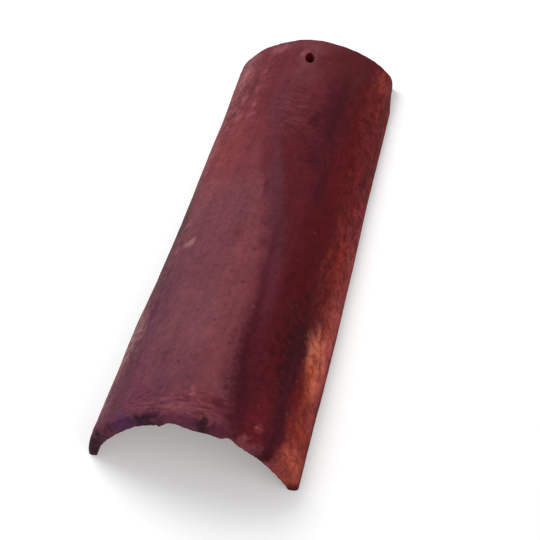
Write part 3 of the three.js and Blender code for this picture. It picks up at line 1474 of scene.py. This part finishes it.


# the stains of the outer face, with a painted shade and painted highlights among them, in the
# order in which they are laid
LEFT_FLANK: Sequence[Patch] = (
    Patch(Tone.BRICK_ROSE, -42, 95, 26, 58),
    Patch(Tone.UPPER_ROSE, -34, 178, 40, 50),
    Patch(Tone.PALE_ROSE, -60, 192, 14, 36, 0.35, torn=1.0),
    Patch(Tone.PALE_ROSE, -63, 196, 6, 10, 0.4, torn=0.9),
    Patch(Tone.MAUVE, -44, -130, 20, 110, 0.75),
    # darker mauve towards the far left edge
    Patch(Tone.DIM_EDGE_MAUVE, -67, -22, 14, 62),
    Patch(Tone.DIM_EDGE_MAUVE, -46, -152, 4, 26, 0.55, torn=0.9),
    Patch(Tone.PALE_FLECK, -63, -132, 10, 36, 0.9, soft=0.5, torn=0.9),
    Patch(Tone.DUSK, -47.5, -109, 3.2, 14, 0.95, lean=-0.12),
    Patch(Tone.LILAC, -41, -130, 3.5, 12, 0.5, lean=-0.1),
    Patch(Tone.TAIL_MAUVE, -47, -190, 16, 30, 0.5),
    Patch(Tone.PALE_ROSE, -55, 165, 24, 66, 0.45, flecks=Flecks.LARGE, cover=0.35),
    Patch(Tone.UPPER_ROSE, -55, 140, 26, 90, 0.5, flecks=Flecks.LONG, cover=0.45),
    Patch(Tone.BROWN_SHOULDER, -55, 165, 14, 44, 0.6, flecks=Flecks.SMALL, cover=0.3),
    Patch(Tone.UPPER_ROSE, -42, 202, 7, 15, 0.7),
    Patch(Tone.BROWN_SHOULDER, -52, 212, 4, 6, 0.6, torn=0.9),
    Patch(Tone.UPPER_ROSE, -56, 160, 12, 12, 0.5),
    Patch(Tone.BROWN_SHOULDER, -41, 160, 4, 11, 0.65, torn=0.9),
    Patch(Tone.BROWN_SHOULDER, -51.5, 169, 3, 6, 0.65, torn=0.9),
    Patch(Tone.BROWN_SHOULDER, -39, 146, 2.4, 3, 0.4),
    Patch(Tone.UPPER_ROSE, -28, 140, 4, 10, 0.5),
    Patch(Tone.PALE_ROSE, -62, 96, 6, 16, 0.3),
    Patch(Tone.SHELL_PINK, -59, 199, 3.5, 6, 0.65, torn=0.8),
    Patch(Tone.DUSTY_ROSE, -61, 219, 9, 9, 0.6, torn=0.7),
    Patch(Tone.BROWN_SHOULDER, -45, 181, 5, 8, 0.35, torn=0.9),
    Patch(Tone.PALE_ROSE, -33, 140, 2.4, 4, 0.6, torn=1.2),
    Patch(Tone.PALE_ROSE, -32.5, 125.5, 3.2, 3.5, 0.45, torn=1.2),
    Patch(Tone.PALE_ROSE, -46, 153, 2.6, 4.5, 0.4, torn=1.2),
    Patch(Tone.PALE_ROSE, -43.7, 127, 3, 7, 0.45, torn=1.2),
    Patch(Tone.PALE_FLECK, -60, 185, 12, 36, 0.35, flecks=Flecks.ROUND, cover=0.3),
    Patch(Tone.PALE_ROSE, -56, 20, 18, 60, 0.3, flecks=Flecks.LARGE, cover=0.35),
    Patch(Tone.DIM_EDGE_MAUVE, -62, -30, 16, 80, 0.5, flecks=Flecks.LARGE, cover=0.45),
    Patch(Tone.CREAM, -40.5, -36, 3.2, 4, 0.9, torn=0.9),
    Patch(Tone.PALE_ROSE, -51, -38, 2.5, 4, 0.5),
    Patch(Tone.PALE_ROSE, -51, -6, 2.5, 4, 0.5),
    Patch(Tone.DUSK, -45, -165, 20, 70, 0.35, flecks=Flecks.LARGE),
    Patch(Tone.CREAM, -68, -135, 10, 60, 0.5, flecks=Flecks.ROUND_TOO),
    Patch(Tone.WINE, -64, -140, 14, 60, 0.5, flecks=Flecks.SMALL, cover=0.35),
    Patch(Tone.DIM_EDGE_MAUVE, -54, -170, 12, 50, 0.5, flecks=Flecks.ROUND_TOO),
    Patch(Tone.PALE_FLECK, -63, -203, 6, 12, 0.5, torn=0.8),
    Patch(Tone.DIM_EDGE_MAUVE, -59, -192, 4, 9, 0.45, torn=0.9),
    Patch(Tone.UPPER_ROSE, -11, -198, 6, 7, 0.4),
    Patch(Tone.WARM_ROSE, -10, -180, 30, 50, 0.5, flecks=Flecks.ROUND_TOO),
    Patch(Tone.MAUVE, -14, -190, 30, 50, 0.5, flecks=Flecks.ROUND),
    Patch(Tone.DUSTY_ROSE, -10, -128, 22, 36, 0.5),
    Patch(Tone.MAUVE, -17, -192, 12, 28, 0.6),
    Patch(Tone.UPPER_ROSE, -5.6, -31, 2.8, 4.5, 0.9),
    Patch(Tone.UPPER_ROSE, -13, 66, 15, 36, 0.5),
    Patch(Tone.DIM_EDGE_MAUVE, -64, 2, 6, 18, 0.9),
    Patch(Tone.DIM_EDGE_MAUVE, -55, -86, 11, 24, 0.6),
    # painted shade along the far left edge, which turns away from the light and is seen only at a
    # grazing angle
    Patch(Tone.PAINTED_SHADE_EDGE, -80, -10, 11, 170, 0.75, soft=0.5, torn=0.5),
)
CROWN: Sequence[Patch] = (
    Patch(Tone.WARM_ROSE, 8, -100, 11, 110, lean=-0.05),
    Patch(Tone.UPPER_ROSE, 16, -206, 5, 7, 0.7),
    Patch(Tone.PALE_ROSE, 4, -202, 2.3, 4, 0.75),
    Patch(Tone.UPPER_ROSE, 8, -209, 4, 4, 0.4),
    Patch(Tone.WIPED, 4, 160, 30, 66, 0.9),
    Patch(Tone.SMOKE_BLUE, -12, 135, 8, 45, 0.4, lean=-0.12),
    Patch(Tone.SMOKE_BLUE, 6, 42, 5, 24, 0.5, lean=-0.2),
    Patch(Tone.PLUM, 6, 118, 20, 32, 0.35, flecks=Flecks.CROSSWISE),
    Patch(Tone.HEAD_RIM, 4, 130, 18, 30, 0.35, flecks=Flecks.CROSSWISE_TOO, cover=0.35),
    Patch(Tone.HEAD_RIM, -6, 224, 26, 9, 0.6),
    Patch(Tone.PALE_ROSE, -30, 218, 7, 6, 0.5),
    # painted highlight: a pale ring round the nail hole, here and in the next patch, where the
    # raised burr catches the light
    Patch(Tone.HEAD_RIM, 0, 202, 9, 13, 0.6),
    Patch(Tone.HEAD_RIM, 8, 213, 6, 7, 0.6),
    Patch(Tone.HEAD_RIM, 3, 181, 15, 17, 0.4),
    # painted highlight on the burr, on the left of the nail hole
    Patch(Tone.PALE_ROSE, -6, 208, 4, 5, 0.4),
)
RIGHT_SHOULDER: Sequence[Patch] = (
    Patch(Tone.BROWN_SHOULDER, 34, 194, 20, 34, 0.85),
    Patch(Tone.PLUM, 31, 142, 9, 27, torn=0.7),
    Patch(Tone.PLUM, 30, 172, 8, 14, 0.35),
    Patch(Tone.MAROON, 36, -90, 5, 28, 0.6),
    Patch(Tone.PLUM, 20.5, 121, 4, 9, 0.7, torn=0.7),
    Patch(Tone.PLUM, 29, 76, 5, 13, 0.6, torn=0.7),
    Patch(Tone.PLUM, 33, 103, 8, 13, 0.5, torn=0.7),
    Patch(Tone.PLUM, 27, 100, 14, 50, 0.45, flecks=Flecks.SMALL),
    Patch(Tone.DEEP_MAROON, 46, -50, 13, 150, 0.85),
    Patch(Tone.PLUM, 37, 48, 3.5, 20, 0.6),
    Patch(Tone.WINE, 21.5, -70, 2.2, 50, 0.5, soft=0.9, lean=-0.05),
    Patch(Tone.CREASE_ROSE, 26, -85, 2.5, 40, 0.5, soft=0.9, lean=-0.05),
    Patch(Tone.EMBER, 50, 118, 9, 72, 0.75, torn=0.7),
    Patch(Tone.MAROON, 42, -92, 7, 16, 0.5),
    Patch(Tone.PLUM, 42, 130, 4, 13, 0.4),
    Patch(Tone.WINE, 27.5, -170, 6.5, 60, 0.75, soft=0.8, lean=-0.08),
    Patch(Tone.PLUM, 25.7, -160, 1.9, 46, 0.7, soft=0.9, lean=-0.06),
    Patch(Tone.PLUM, 29.3, -192, 2.4, 32, 0.7, soft=0.9, lean=-0.05),
    Patch(Tone.WINE, 16.5, -166, 2.3, 26, 0.35, soft=0.9, lean=-0.05),
    Patch(Tone.SOOT, 26, -165, 8, 60, 0.4, flecks=Flecks.SMALL, cover=0.35),
    Patch(Tone.SOOT, 52, -138, 6, 56, torn=0.9),
    Patch(Tone.SOOT, 48, -135, 11, 66, 0.7, flecks=Flecks.SMALL, cover=0.45),
    Patch(Tone.WINE, 55.5, -172, 6, 38, soft=0.7, torn=0.6),
    Patch(Tone.CRIMSON, 41, -206, 6, 25, 0.6),
    Patch(Tone.SALMON, 42.5, -211.5, 2.2, 3.5),
)
RIGHT_FLANK: Sequence[Patch] = (
    Patch(Tone.RED, 62, 110, 7, 105, torn=0.6),
    Patch(Tone.EMBER, 70, 128, 7, 80, 0.6, torn=1.0),
    Patch(Tone.RUST, 82, 120, 7, 100, 0.7, torn=0.6),
    Patch(Tone.RUST, 64, 196, 11, 36, torn=0.7),
    Patch(Tone.SOFT_ORANGE, 66, 212, 9, 16, 0.45, torn=0.8),
    Patch(Tone.SOFT_ORANGE, 74, 170, 6, 28, 0.6, torn=0.8),
    Patch(Tone.EMBER, 50, 98, 5, 14, 0.7),
    Patch(Tone.PINK_RED, 74, 44, 9, 28, torn=0.7),
    Patch(Tone.ORANGE_RED, 67, -8, 8, 46, 0.65, torn=0.7),
    Patch(Tone.SALMON, 83, -20, 5, 60, 0.5, torn=0.7),
    Patch(Tone.SALMON, 76, -58, 8, 28, torn=0.7),
    Patch(Tone.SALMON, 77, 4, 5, 14, 0.7, torn=0.7),
    Patch(Tone.ORANGE, 70.5, -124, 10.2, 38, 1.0, soft=0.3, torn=0.3, lean=0.02),
    Patch(Tone.PEACH, 62.5, -109, 4.2, 15, 0.75, soft=0.8, torn=0.9, lean=-0.04),
    Patch(Tone.ORANGE, 74, -86, 6, 14, 0.7, torn=0.7),
    Patch(Tone.RED, 60.5, -162, 4, 20, 0.6, torn=0.7),
    Patch(Tone.SALMON, 80, -115, 5, 44, 0.7, torn=0.6),
    Patch(Tone.RUST, 88, -70, 6, 110, 0.7, torn=0.5),
    Patch(Tone.BURNT_ORANGE, 72, -190, 12, 34, 0.85, torn=0.8),
    Patch(Tone.EMBER, 66, 110, 18, 130, 0.7, flecks=Flecks.LONG, cover=0.5),
    Patch(Tone.RUST, 66, 130, 16, 110, 0.5, flecks=Flecks.ROUND),
    Patch(Tone.PLUM, 70, 150, 12, 80, 0.3, flecks=Flecks.LONG, cover=0.3),
    Patch(Tone.PINK_RED, 70, 142, 4, 18, 0.5, torn=0.7),
    Patch(Tone.EMBER, 68, 0, 14, 70, 0.7, flecks=Flecks.ROUND, cover=0.42),
    Patch(Tone.PINK, 76, 10, 14, 70, 0.3, flecks=Flecks.ROUND_TOO, cover=0.35),
    Patch(Tone.SOFT_ORANGE, 66, -30, 11, 60, 0.4, flecks=Flecks.LONG, cover=0.35),
    Patch(Tone.RUST, 72, -34, 13, 13, 0.65),
    Patch(Tone.BROWN_FLECK, 68, -112, 11, 56, 0.6, flecks=Flecks.ROUND, cover=0.3),
    Patch(Tone.PEACH, 73, -116, 6, 30, 0.7, lean=0.05, flecks=Flecks.LONG, cover=0.5),
    Patch(Tone.PINK, 77, -100, 8, 60, 0.5, flecks=Flecks.ROUND_TOO, cover=0.45),
    Patch(Tone.EMBER, 59.5, -164, 4.5, 14, 0.55, torn=0.7),
    Patch(Tone.EMBER, 61.5, -43, 4.5, 13, 0.55, torn=0.7),
    Patch(Tone.EMBER, 67.5, 18, 4, 9, 0.45, torn=0.9),
    Patch(Tone.SALMON, 77, -171, 4, 10, 0.5, torn=0.9),
    Patch(Tone.RED, 68, -186, 14, 28, 0.5, flecks=Flecks.ROUND_TOO),
    Patch(Tone.PLUM, 52.5, -208, 4, 26, 0.7, torn=0.7),
    Patch(Tone.TAIL_ORANGE, 71, -221, 13, 15, 0.95, soft=0.5, torn=0.5),
    Patch(Tone.CRIMSON, 70, -217, 16, 18, 0.35, flecks=Flecks.ROUND, cover=0.25),
)
TAIL: Sequence[Patch] = (
    Patch(Tone.WINE, 24, -214, 42, 14, 0.6, flecks=Flecks.CROSSWISE, cover=0.35),
    Patch(Tone.MAGENTA_ROSE, -36, -212, 28, 16, 0.65),
    Patch(Tone.PALE_ROSE, -8, -216, 30, 8, 0.35, flecks=Flecks.CROSSWISE_TOO, cover=0.35),
    Patch(Tone.TAIL_PLUM, -34, -214, 26, 14, 0.5, flecks=Flecks.CROSSWISE, cover=0.35),
    Patch(Tone.DIM_MAUVE, -46.5, -190, 5, 26, 0.75),
    Patch(Tone.DIM_MAUVE, -56, -220, 10, 10, 0.7),
    Patch(Tone.CREASE_ROSE, 20, -216, 4, 5.5, 0.5, torn=0.9),
)
TAIL_EDGE: Sequence[Patch] = (
    Patch(Tone.PURPLE, -38, -228, 9, 6.5, 0.85, torn=1.0),
    Patch(Tone.TAIL_BLACK, -25, -229, 8, 3.6, 0.75, torn=1.0),
    Patch(Tone.TAIL_PLUM, -17, -225.5, 4, 2, 0.75, torn=1.1),
    Patch(Tone.TAIL_MAUVE, 2, -229, 10, 4, 0.6, torn=0.9),
    Patch(Tone.TAIL_BLACK, 14.8, -228, 3.4, 4.5, torn=1.1),
    Patch(Tone.TAIL_PLUM, 20.5, -226, 2, 4, 0.5, torn=1.1),
    Patch(Tone.MAGENTA_ROSE, 26, -228, 5, 4, 0.7, torn=0.9),
    Patch(Tone.PLUM, 27.5, -215, 2.2, 5, 0.6, torn=0.9),
    Patch(Tone.LIP_PINK, 40, -228.5, 8.5, 4.5, 0.85, torn=1.0),
    Patch(Tone.MAGENTA_ROSE, 49, -230, 5, 4, 0.7, torn=0.7),
    Patch(Tone.LIP_PINK, 63, -230, 9, 3, 0.5, torn=0.9),
    Patch(Tone.PLUM, 53, -226.5, 3, 6, 0.9, torn=0.7),
    Patch(Tone.TAIL_BLACK, -78, -228, 12, 10, 0.85, torn=0.7),
)


@dataclass(frozen=True)
class FiredClay:
    """The finish of the whole tile: flashed clay that is rose on one side and maroon on the other.

    Attributes:
        shell: The sizes of the slab.
        hole: The nail hole.
        crease: Where the smoky line between rose and maroon runs: millimetres along, degrees
            across.
        patches: The stains, with a painted shade and painted highlights among them, in the order
            in which they are laid.
        edge_patches: The stains over the band along the tail edge.
        specks: The single grains.
        gloss: The shader's specular level.
        relief: Height of the bump.
    """

    shell: TileShell
    hole: NailHole
    crease: Sequence[tuple[float, float]] = (
        (-228, 29.5), (-185, 28), (-150, 24), (-100, 20), (-50, 16.3), (0, 9.8), (30, 3.5),
        (60, -3.5), (90, -9.5), (120, -14.5), (150, -18), (228, -28),
    )  # fmt: skip
    patches: Sequence[Patch] = (*LEFT_FLANK, *CROWN, *RIGHT_SHOULDER, *RIGHT_FLANK, *TAIL)
    edge_patches: Sequence[Patch] = TAIL_EDGE
    specks: Sequence[Specks] = (
        Specks(Tone.GROG, spacing=6.5, share=0.04, strength=0.18, stand=0.5),
        Specks(Tone.IRON, spacing=2.6, share=0.22, strength=0.35, stand=-0.5),
        Specks(Tone.IRON, spacing=5.6, share=0.12, strength=0.5),
    )
    gloss: float = 0.1
    relief: float = 0.5 * MM

    def make(self) -> bpy.types.Material:
        """Wires the finish.

        Returns:
            The material.
        """
        material, bench, shader = new_material("fired_clay")
        canvas = Canvas(bench, self.shell)
        colour = canvas.lay(self._lay_ground(canvas), self.patches)
        colour = canvas.lay(self._darken_tail(canvas, colour), self.edge_patches)
        colour = bench.tint(canvas.inside, self._mottle(canvas, colour), self._bare_clay(canvas))
        masks = [canvas.scatter(specks) for specks in self.specks]
        for specks, mask in zip(self.specks, masks):
            covered = bench.calc("MULTIPLY", mask, specks.strength)
            colour = bench.tint(covered, colour, specks.tone)
        sand = bench.calc("MULTIPLY", canvas.noise(Grain.FINE_SAND), canvas.inside)
        grains = ((mask, specks.stand) for specks, mask in zip(self.specks, masks) if specks.stand)
        skin = canvas.noise(Grain.SKIN)
        height = bench.add_up(skin, (canvas.streaks, 0.18), (sand, 1.5), *grains)
        feeds = {"Strength": 1.0, "Distance": self.relief, "Height": height}
        finish = {
            "Base Color": self._paint_hole_shade(canvas, colour),
            "Roughness": bench.add_up(0.78, (canvas.streaks, -0.10), (canvas.inside, 0.16)),
            "Specular IOR Level": self.gloss,
            "Normal": bench.add("ShaderNodeBump", feeds).outputs[0],
        }
        bench.feed(shader, finish)
        return material

    def _lay_ground(self, canvas: Canvas) -> Socket:
        """Lays rose on the left of the crease, maroon on its right and smoke along it.

        Args:
            canvas: The material's bench and fields.

        Returns:
            The colour.
        """
        bench, along = canvas.bench, canvas.along
        length, widest = self.shell.length / MM, 40.0
        curve = bench.add(
            "ShaderNodeFloatCurve", {"Value": bench.calc("MULTIPLY_ADD", along, 1 / length, 0.5)}
        )
        line = curve.mapping.curves[0]
        stops = [
            (place / length + 0.5, degrees / widest / 2 + 0.5) for place, degrees in self.crease
        ]
        line.points[0].location, line.points[1].location = stops[0], stops[-1]
        for stop in stops[1:-1]:
            line.points.new(*stop)
        curve.mapping.update()
        crease = bench.add_up(-widest, (curve.outputs[0], 2 * widest))
        beside = bench.add_up(bench.calc("SUBTRACT", canvas.across, crease), (canvas.tear, 0.5))

        tailwards, headwards = bench.ramp(along, -70.0, -150.0), bench.ramp(along, 30.0, 130.0)
        rose_from = bench.add_up(-1.0, (tailwards, 5.0), (headwards, 1.5))
        rose_whole = bench.add_up(-8.0, (tailwards, -2.5), (headwards, -8.0))
        rose = bench.ramp(beside, rose_from, rose_whole)
        colour = bench.tint(rose, Tone.MAROON, Tone.ROSE)

        smoke_middle, smoke_ends, smoke_whole, strength = 5.0, 10.0, 2.0, 0.85
        off_smoke = bench.calc("ABSOLUTE", bench.calc("SUBTRACT", beside, smoke_middle))
        smoke = bench.ramp(off_smoke, smoke_ends, smoke_whole, high=strength)
        smoke = bench.calc("MULTIPLY", smoke, bench.ramp(along, -150.0, -40.0))
        return bench.tint(smoke, colour, Tone.SMOKE_BLUE)

    def _darken_tail(self, canvas: Canvas, colour: Socket) -> Socket:
        """Lays a darker, blotted band along the tail edge and over its end face, mauve and plum on
        the left and redder on the right.

        Args:
            canvas: The material's bench and fields.
            colour: What is under it.

        Returns:
            The colour.
        """
        bench, across = canvas.bench, canvas.across
        whole, left_width, right_width = 1.5, 5.5, 8.0
        left_strength, right_strength = 0.7, 0.2
        from_edge = bench.calc("SUBTRACT", canvas.along, self.shell.tail_y / MM)
        from_edge = bench.add_up(from_edge, (canvas.tear, 3.0))
        width = bench.ramp(across, 15.0, 30.0, left_width, right_width)
        strength = bench.ramp(across, 30.0, 60.0, left_strength, right_strength)
        band = bench.calc("MULTIPLY", bench.ramp(from_edge, width, whole), strength)
        blots = bench.ramp(canvas.noise(Grain.BLOTS), 0.38, 0.62)
        mauve_and_plum = bench.tint(blots, Tone.TAIL_MAUVE, Tone.TAIL_PLUM)
        red = bench.tint(blots, Tone.UPPER_ROSE, Tone.WINE)
        return bench.tint(band, colour, bench.tint(bench.ramp(across, 8.0, 24.0), mauve_and_plum, red))

    def _mottle(self, canvas: Canvas, colour: Socket) -> Socket:
        """Varies the shade in small mottles, grit, blotches and streaks.

        Args:
            canvas: The material's bench and fields.
            colour: What is under them.

        Returns:
            The colour.
        """
        bench, on_crown, on_flanks = canvas.bench, 0.45, 1.0
        mottles = bench.vary(
            0.0, (canvas.noise(Grain.MOTTLE), 1.5), (canvas.noise(Grain.FINE_MOTTLE), 0.8)
        )
        busy = bench.ramp(canvas.side, 40.0, 62.0, on_crown, on_flanks)
        shade = bench.vary(
            bench.calc("MULTIPLY_ADD", mottles, busy, 1.0),
            (canvas.grit, 0.7),
            (canvas.noise(Grain.BLOTCH), 0.5),
            (canvas.streaks, 0.08),
            (canvas.wide_streaks, 0.12),
        )
        return bench.tint(1.0, colour, bench.vector(shade, shade, shade), "MULTIPLY")

    def _bare_clay(self, canvas: Canvas) -> Socket:
        """Colours the underside: brick clay with kiln clouds and mould sand.

        Args:
            canvas: The material's bench and fields.

        Returns:
            The colour.
        """
        bench = canvas.bench
        clouds = bench.ramp(canvas.noise(Grain.KILN_CLOUDS), 0.35, 0.65)
        sand = bench.ramp(canvas.noise(Grain.MOULD_SAND), 0.5, 0.7, high=0.6)
        colour = bench.tint(clouds, Tone.BARE_CLAY, Tone.BRICK_ROSE)
        return bench.tint(sand, colour, Tone.PALE_SAND)

    def _paint_hole_shade(self, canvas: Canvas, colour: Socket) -> Socket:
        """Darkens the bore and the crater of the nail hole with painted shade.

        Args:
            canvas: The material's bench and fields.
            colour: What is under it.

        Returns:
            The colour.
        """
        bench, hole = canvas.bench, self.hole
        centred = bench.calc_place("SUBTRACT", canvas.solid, (0.0, hole.y / MM, 0.0))
        turn = {"Vector": centred, "Angle": math.radians(-hole.turn)}
        turned = bench.add("ShaderNodeVectorRotate", turn, rotation_type="Z_AXIS").outputs[0]
        x, y, _ = bench.parts(turned)
        side = bench.calc("DIVIDE", x, hole.half_width / MM)
        up = bench.calc("DIVIDE", y, hole.half_length / MM)
        hole_shade_ends, hole_shade_whole = 1.25, 1.0  # in sizes of the bore
        hole_shade = bench.ramp(bench.far(side, up), hole_shade_ends, hole_shade_whole)
        # painted shade: the hole is darkened where little light gets into it
        return bench.tint(hole_shade, colour, Tone.EMBER)


# ------------------------------------------------------------------------------ studio and camera


def sight_line(azimuth: float, elevation: float) -> Vector:
    """Finds the direction from the tile to a place round it.

    Args:
        azimuth: Degrees to the right of the tail end.
        elevation: Degrees over the floor.

    Returns:
        The direction, of length 1.
    """
    turn, lift = math.radians(azimuth), math.radians(elevation)
    return Vector(
        (math.sin(turn) * math.cos(lift), -math.cos(turn) * math.cos(lift), math.sin(lift))
    )


@dataclass(frozen=True)
class SoftLamp:
    """A square lamp behind a diffuser, aimed at the tile.

    Attributes:
        name: What it is called.
        azimuth: Where it stands, in degrees to the right of the tail end.
        elevation: How high, in degrees over the floor.
        distance: From the middle of the tile.
        side: Of the diffuser.
        watts: Its power.
    """

    name: str
    azimuth: float
    elevation: float
    distance: float
    side: float
    watts: float

    def place(self) -> None:
        """Adds the lamp and turns it towards the tile."""
        place = sight_line(self.azimuth, self.elevation) * self.distance
        bpy.ops.object.light_add(type="AREA", location=place)
        lamp = bpy.context.object
        lamp.name = lamp.data.name = self.name
        lamp.data.size = self.side
        lamp.data.energy = self.watts
        lamp.rotation_euler = (-place).to_track_quat("-Z", "Y").to_euler()
        log.info("%s: %g watts", self.name, self.watts)


@dataclass
class Studio:
    """A wide pale floor under soft lamps and an even white surround.

    Attributes:
        floor_size: Side of the floor.
        floor_border: How wide a border is cut off all round, so that it is not one huge face.
        floor_paint: How pale it is.
        floor_roughness: How dull it is.
        floor_lift: How much brighter the floor looks than it is lit, near the tile.
        floor_fade: Where the floor starts to look whiter still, and where it has become white.
        surround: How bright the surround lights the tile.
        lamps: The lamps.
    """

    floor_size: float = 24.0
    floor_border: float = 10.8
    floor_paint: float = 0.8
    floor_roughness: float = 0.9
    floor_lift: float = 0.25
    floor_fade: tuple[float, float] = (0.7, 3.0)
    surround: float = 0.45
    lamps: Sequence[SoftLamp] = (
        SoftLamp("key_lamp", azimuth=-125, elevation=52, distance=2.2, side=1.3, watts=34),
        SoftLamp("fill_lamp", azimuth=60, elevation=35, distance=2.6, side=1.6, watts=14),
    )

    def build(self) -> None:
        """Builds the floor, the surround and the lamps."""
        self._lay_floor()
        self._light_surround()
        for lamp in self.lamps:
            lamp.place()

    def _lay_floor(self) -> None:
        """Lays the floor, which gets whiter with distance until it shows as plain white."""
        pick()
        bpy.ops.mesh.primitive_plane_add(size=self.floor_size, location=(0, 0, 0))
        floor = bpy.context.object
        floor.name = floor.data.name = "studio_floor"
        with editing(floor, "FACE"):
            select_all()
            bpy.ops.mesh.inset(thickness=self.floor_border)
        material, bench, shader = new_material("pale_floor")
        place = bench.add("ShaderNodeTexCoord", {}).outputs["Object"]
        away = bench.add("ShaderNodeVectorMath", {0: place}, operation="LENGTH").outputs["Value"]
        lift = bench.ramp(away, *self.floor_fade, self.floor_lift, 1.0)
        finish = {
            "Base Color": (*[self.floor_paint] * 3, 1),
            "Roughness": self.floor_roughness,
            "Emission Color": (1, 1, 1, 1),
            "Emission Strength": bench.calc("MULTIPLY", lift, bench.seen()),
        }
        bench.feed(shader, finish)
        floor.data.materials.append(material)
        report(floor, "laid")

    def _light_surround(self) -> None:
        """Lights the scene evenly from all round, and shows the surround as white."""
        world = bpy.data.worlds.new("white_surround")
        world.use_nodes = True
        bpy.context.scene.world = world
        bench = Bench(world.node_tree)
        strength = bench.ramp(bench.seen(), 0.0, 1.0, self.surround, 1.0)
        background = world.node_tree.nodes["Background"]
        bench.feed(background, {"Color": (1, 1, 1, 1), "Strength": strength})


@dataclass
class ViewCamera:
    """A long lens that looks down on the tail end from the right.

    Attributes:
        azimuth: Where it stands, in degrees to the right of the tail end.
        elevation: How high, in degrees over the floor.
        roll: How far it is turned about its own view, in degrees.
        distance: From the middle of the tile, on the floor.
        focal_pixels: Focal length in pixels of the frame.
        middle_pixel: Where the middle of the tile shows, from the frame's top left corner.
    """

    azimuth: float = 20.38
    elevation: float = 49.9
    roll: float = -7.744
    distance: float = 1.390
    focal_pixels: float = 1559.2
    middle_pixel: tuple[float, float] = (262.0, 257.3)

    def place(self) -> None:
        """Adds the camera and makes it the scene's own."""
        turn, roll = math.radians(self.azimuth), math.radians(self.roll)
        away = sight_line(self.azimuth, self.elevation)
        right = Vector((math.cos(turn), math.sin(turn), 0))
        up = away.cross(right)
        rolled_right = right * math.cos(roll) + up * math.sin(roll)
        rolled_up = up * math.cos(roll) - right * math.sin(roll)
        bpy.ops.object.camera_add()
        camera = bpy.context.object
        camera.name = camera.data.name = "view_camera"
        axes = Matrix((rolled_right, rolled_up, away)).transposed().to_4x4()
        camera.matrix_world = Matrix.Translation(away * self.distance) @ axes
        middle, (across, down) = FRAME_PIXELS / 2, self.middle_pixel
        camera.data.lens = camera.data.sensor_width * self.focal_pixels / FRAME_PIXELS
        camera.data.shift_x = (middle - across) / FRAME_PIXELS
        camera.data.shift_y = (down - middle) / FRAME_PIXELS
        bpy.context.scene.camera = camera
        log.info("%s: lens of %.1f mm", camera.name, camera.data.lens)


def main() -> None:
    """Builds the tile and the studio in order, and reports each piece."""
    logging.basicConfig(level=logging.INFO, format="%(message)s")
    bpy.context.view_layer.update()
    shell, hole = TileShell(), NailHole()
    slab = shell.model()
    report(slab, "pressed and trimmed")
    shell.ease(slab)
    hole.punch(slab, shell)
    report(slab, "eased and punched")
    shell.refine(slab)
    HandWork().shape(slab, shell)
    SurfaceRelief().work(slab, shell)
    report(slab, "refined and worked by hand")
    with editing(slab, "FACE"):
        select_all()
        bpy.ops.mesh.faces_shade_smooth()
    slab.data.materials.clear()
    slab.data.materials.append(FiredClay(shell, hole).make())
    Studio().build()
    ViewCamera().place()
    bpy.context.scene.view_settings.view_transform = "Standard"
    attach(slab, "root")
    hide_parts("barrel_tile")


if __name__ == "__main__":
    main()
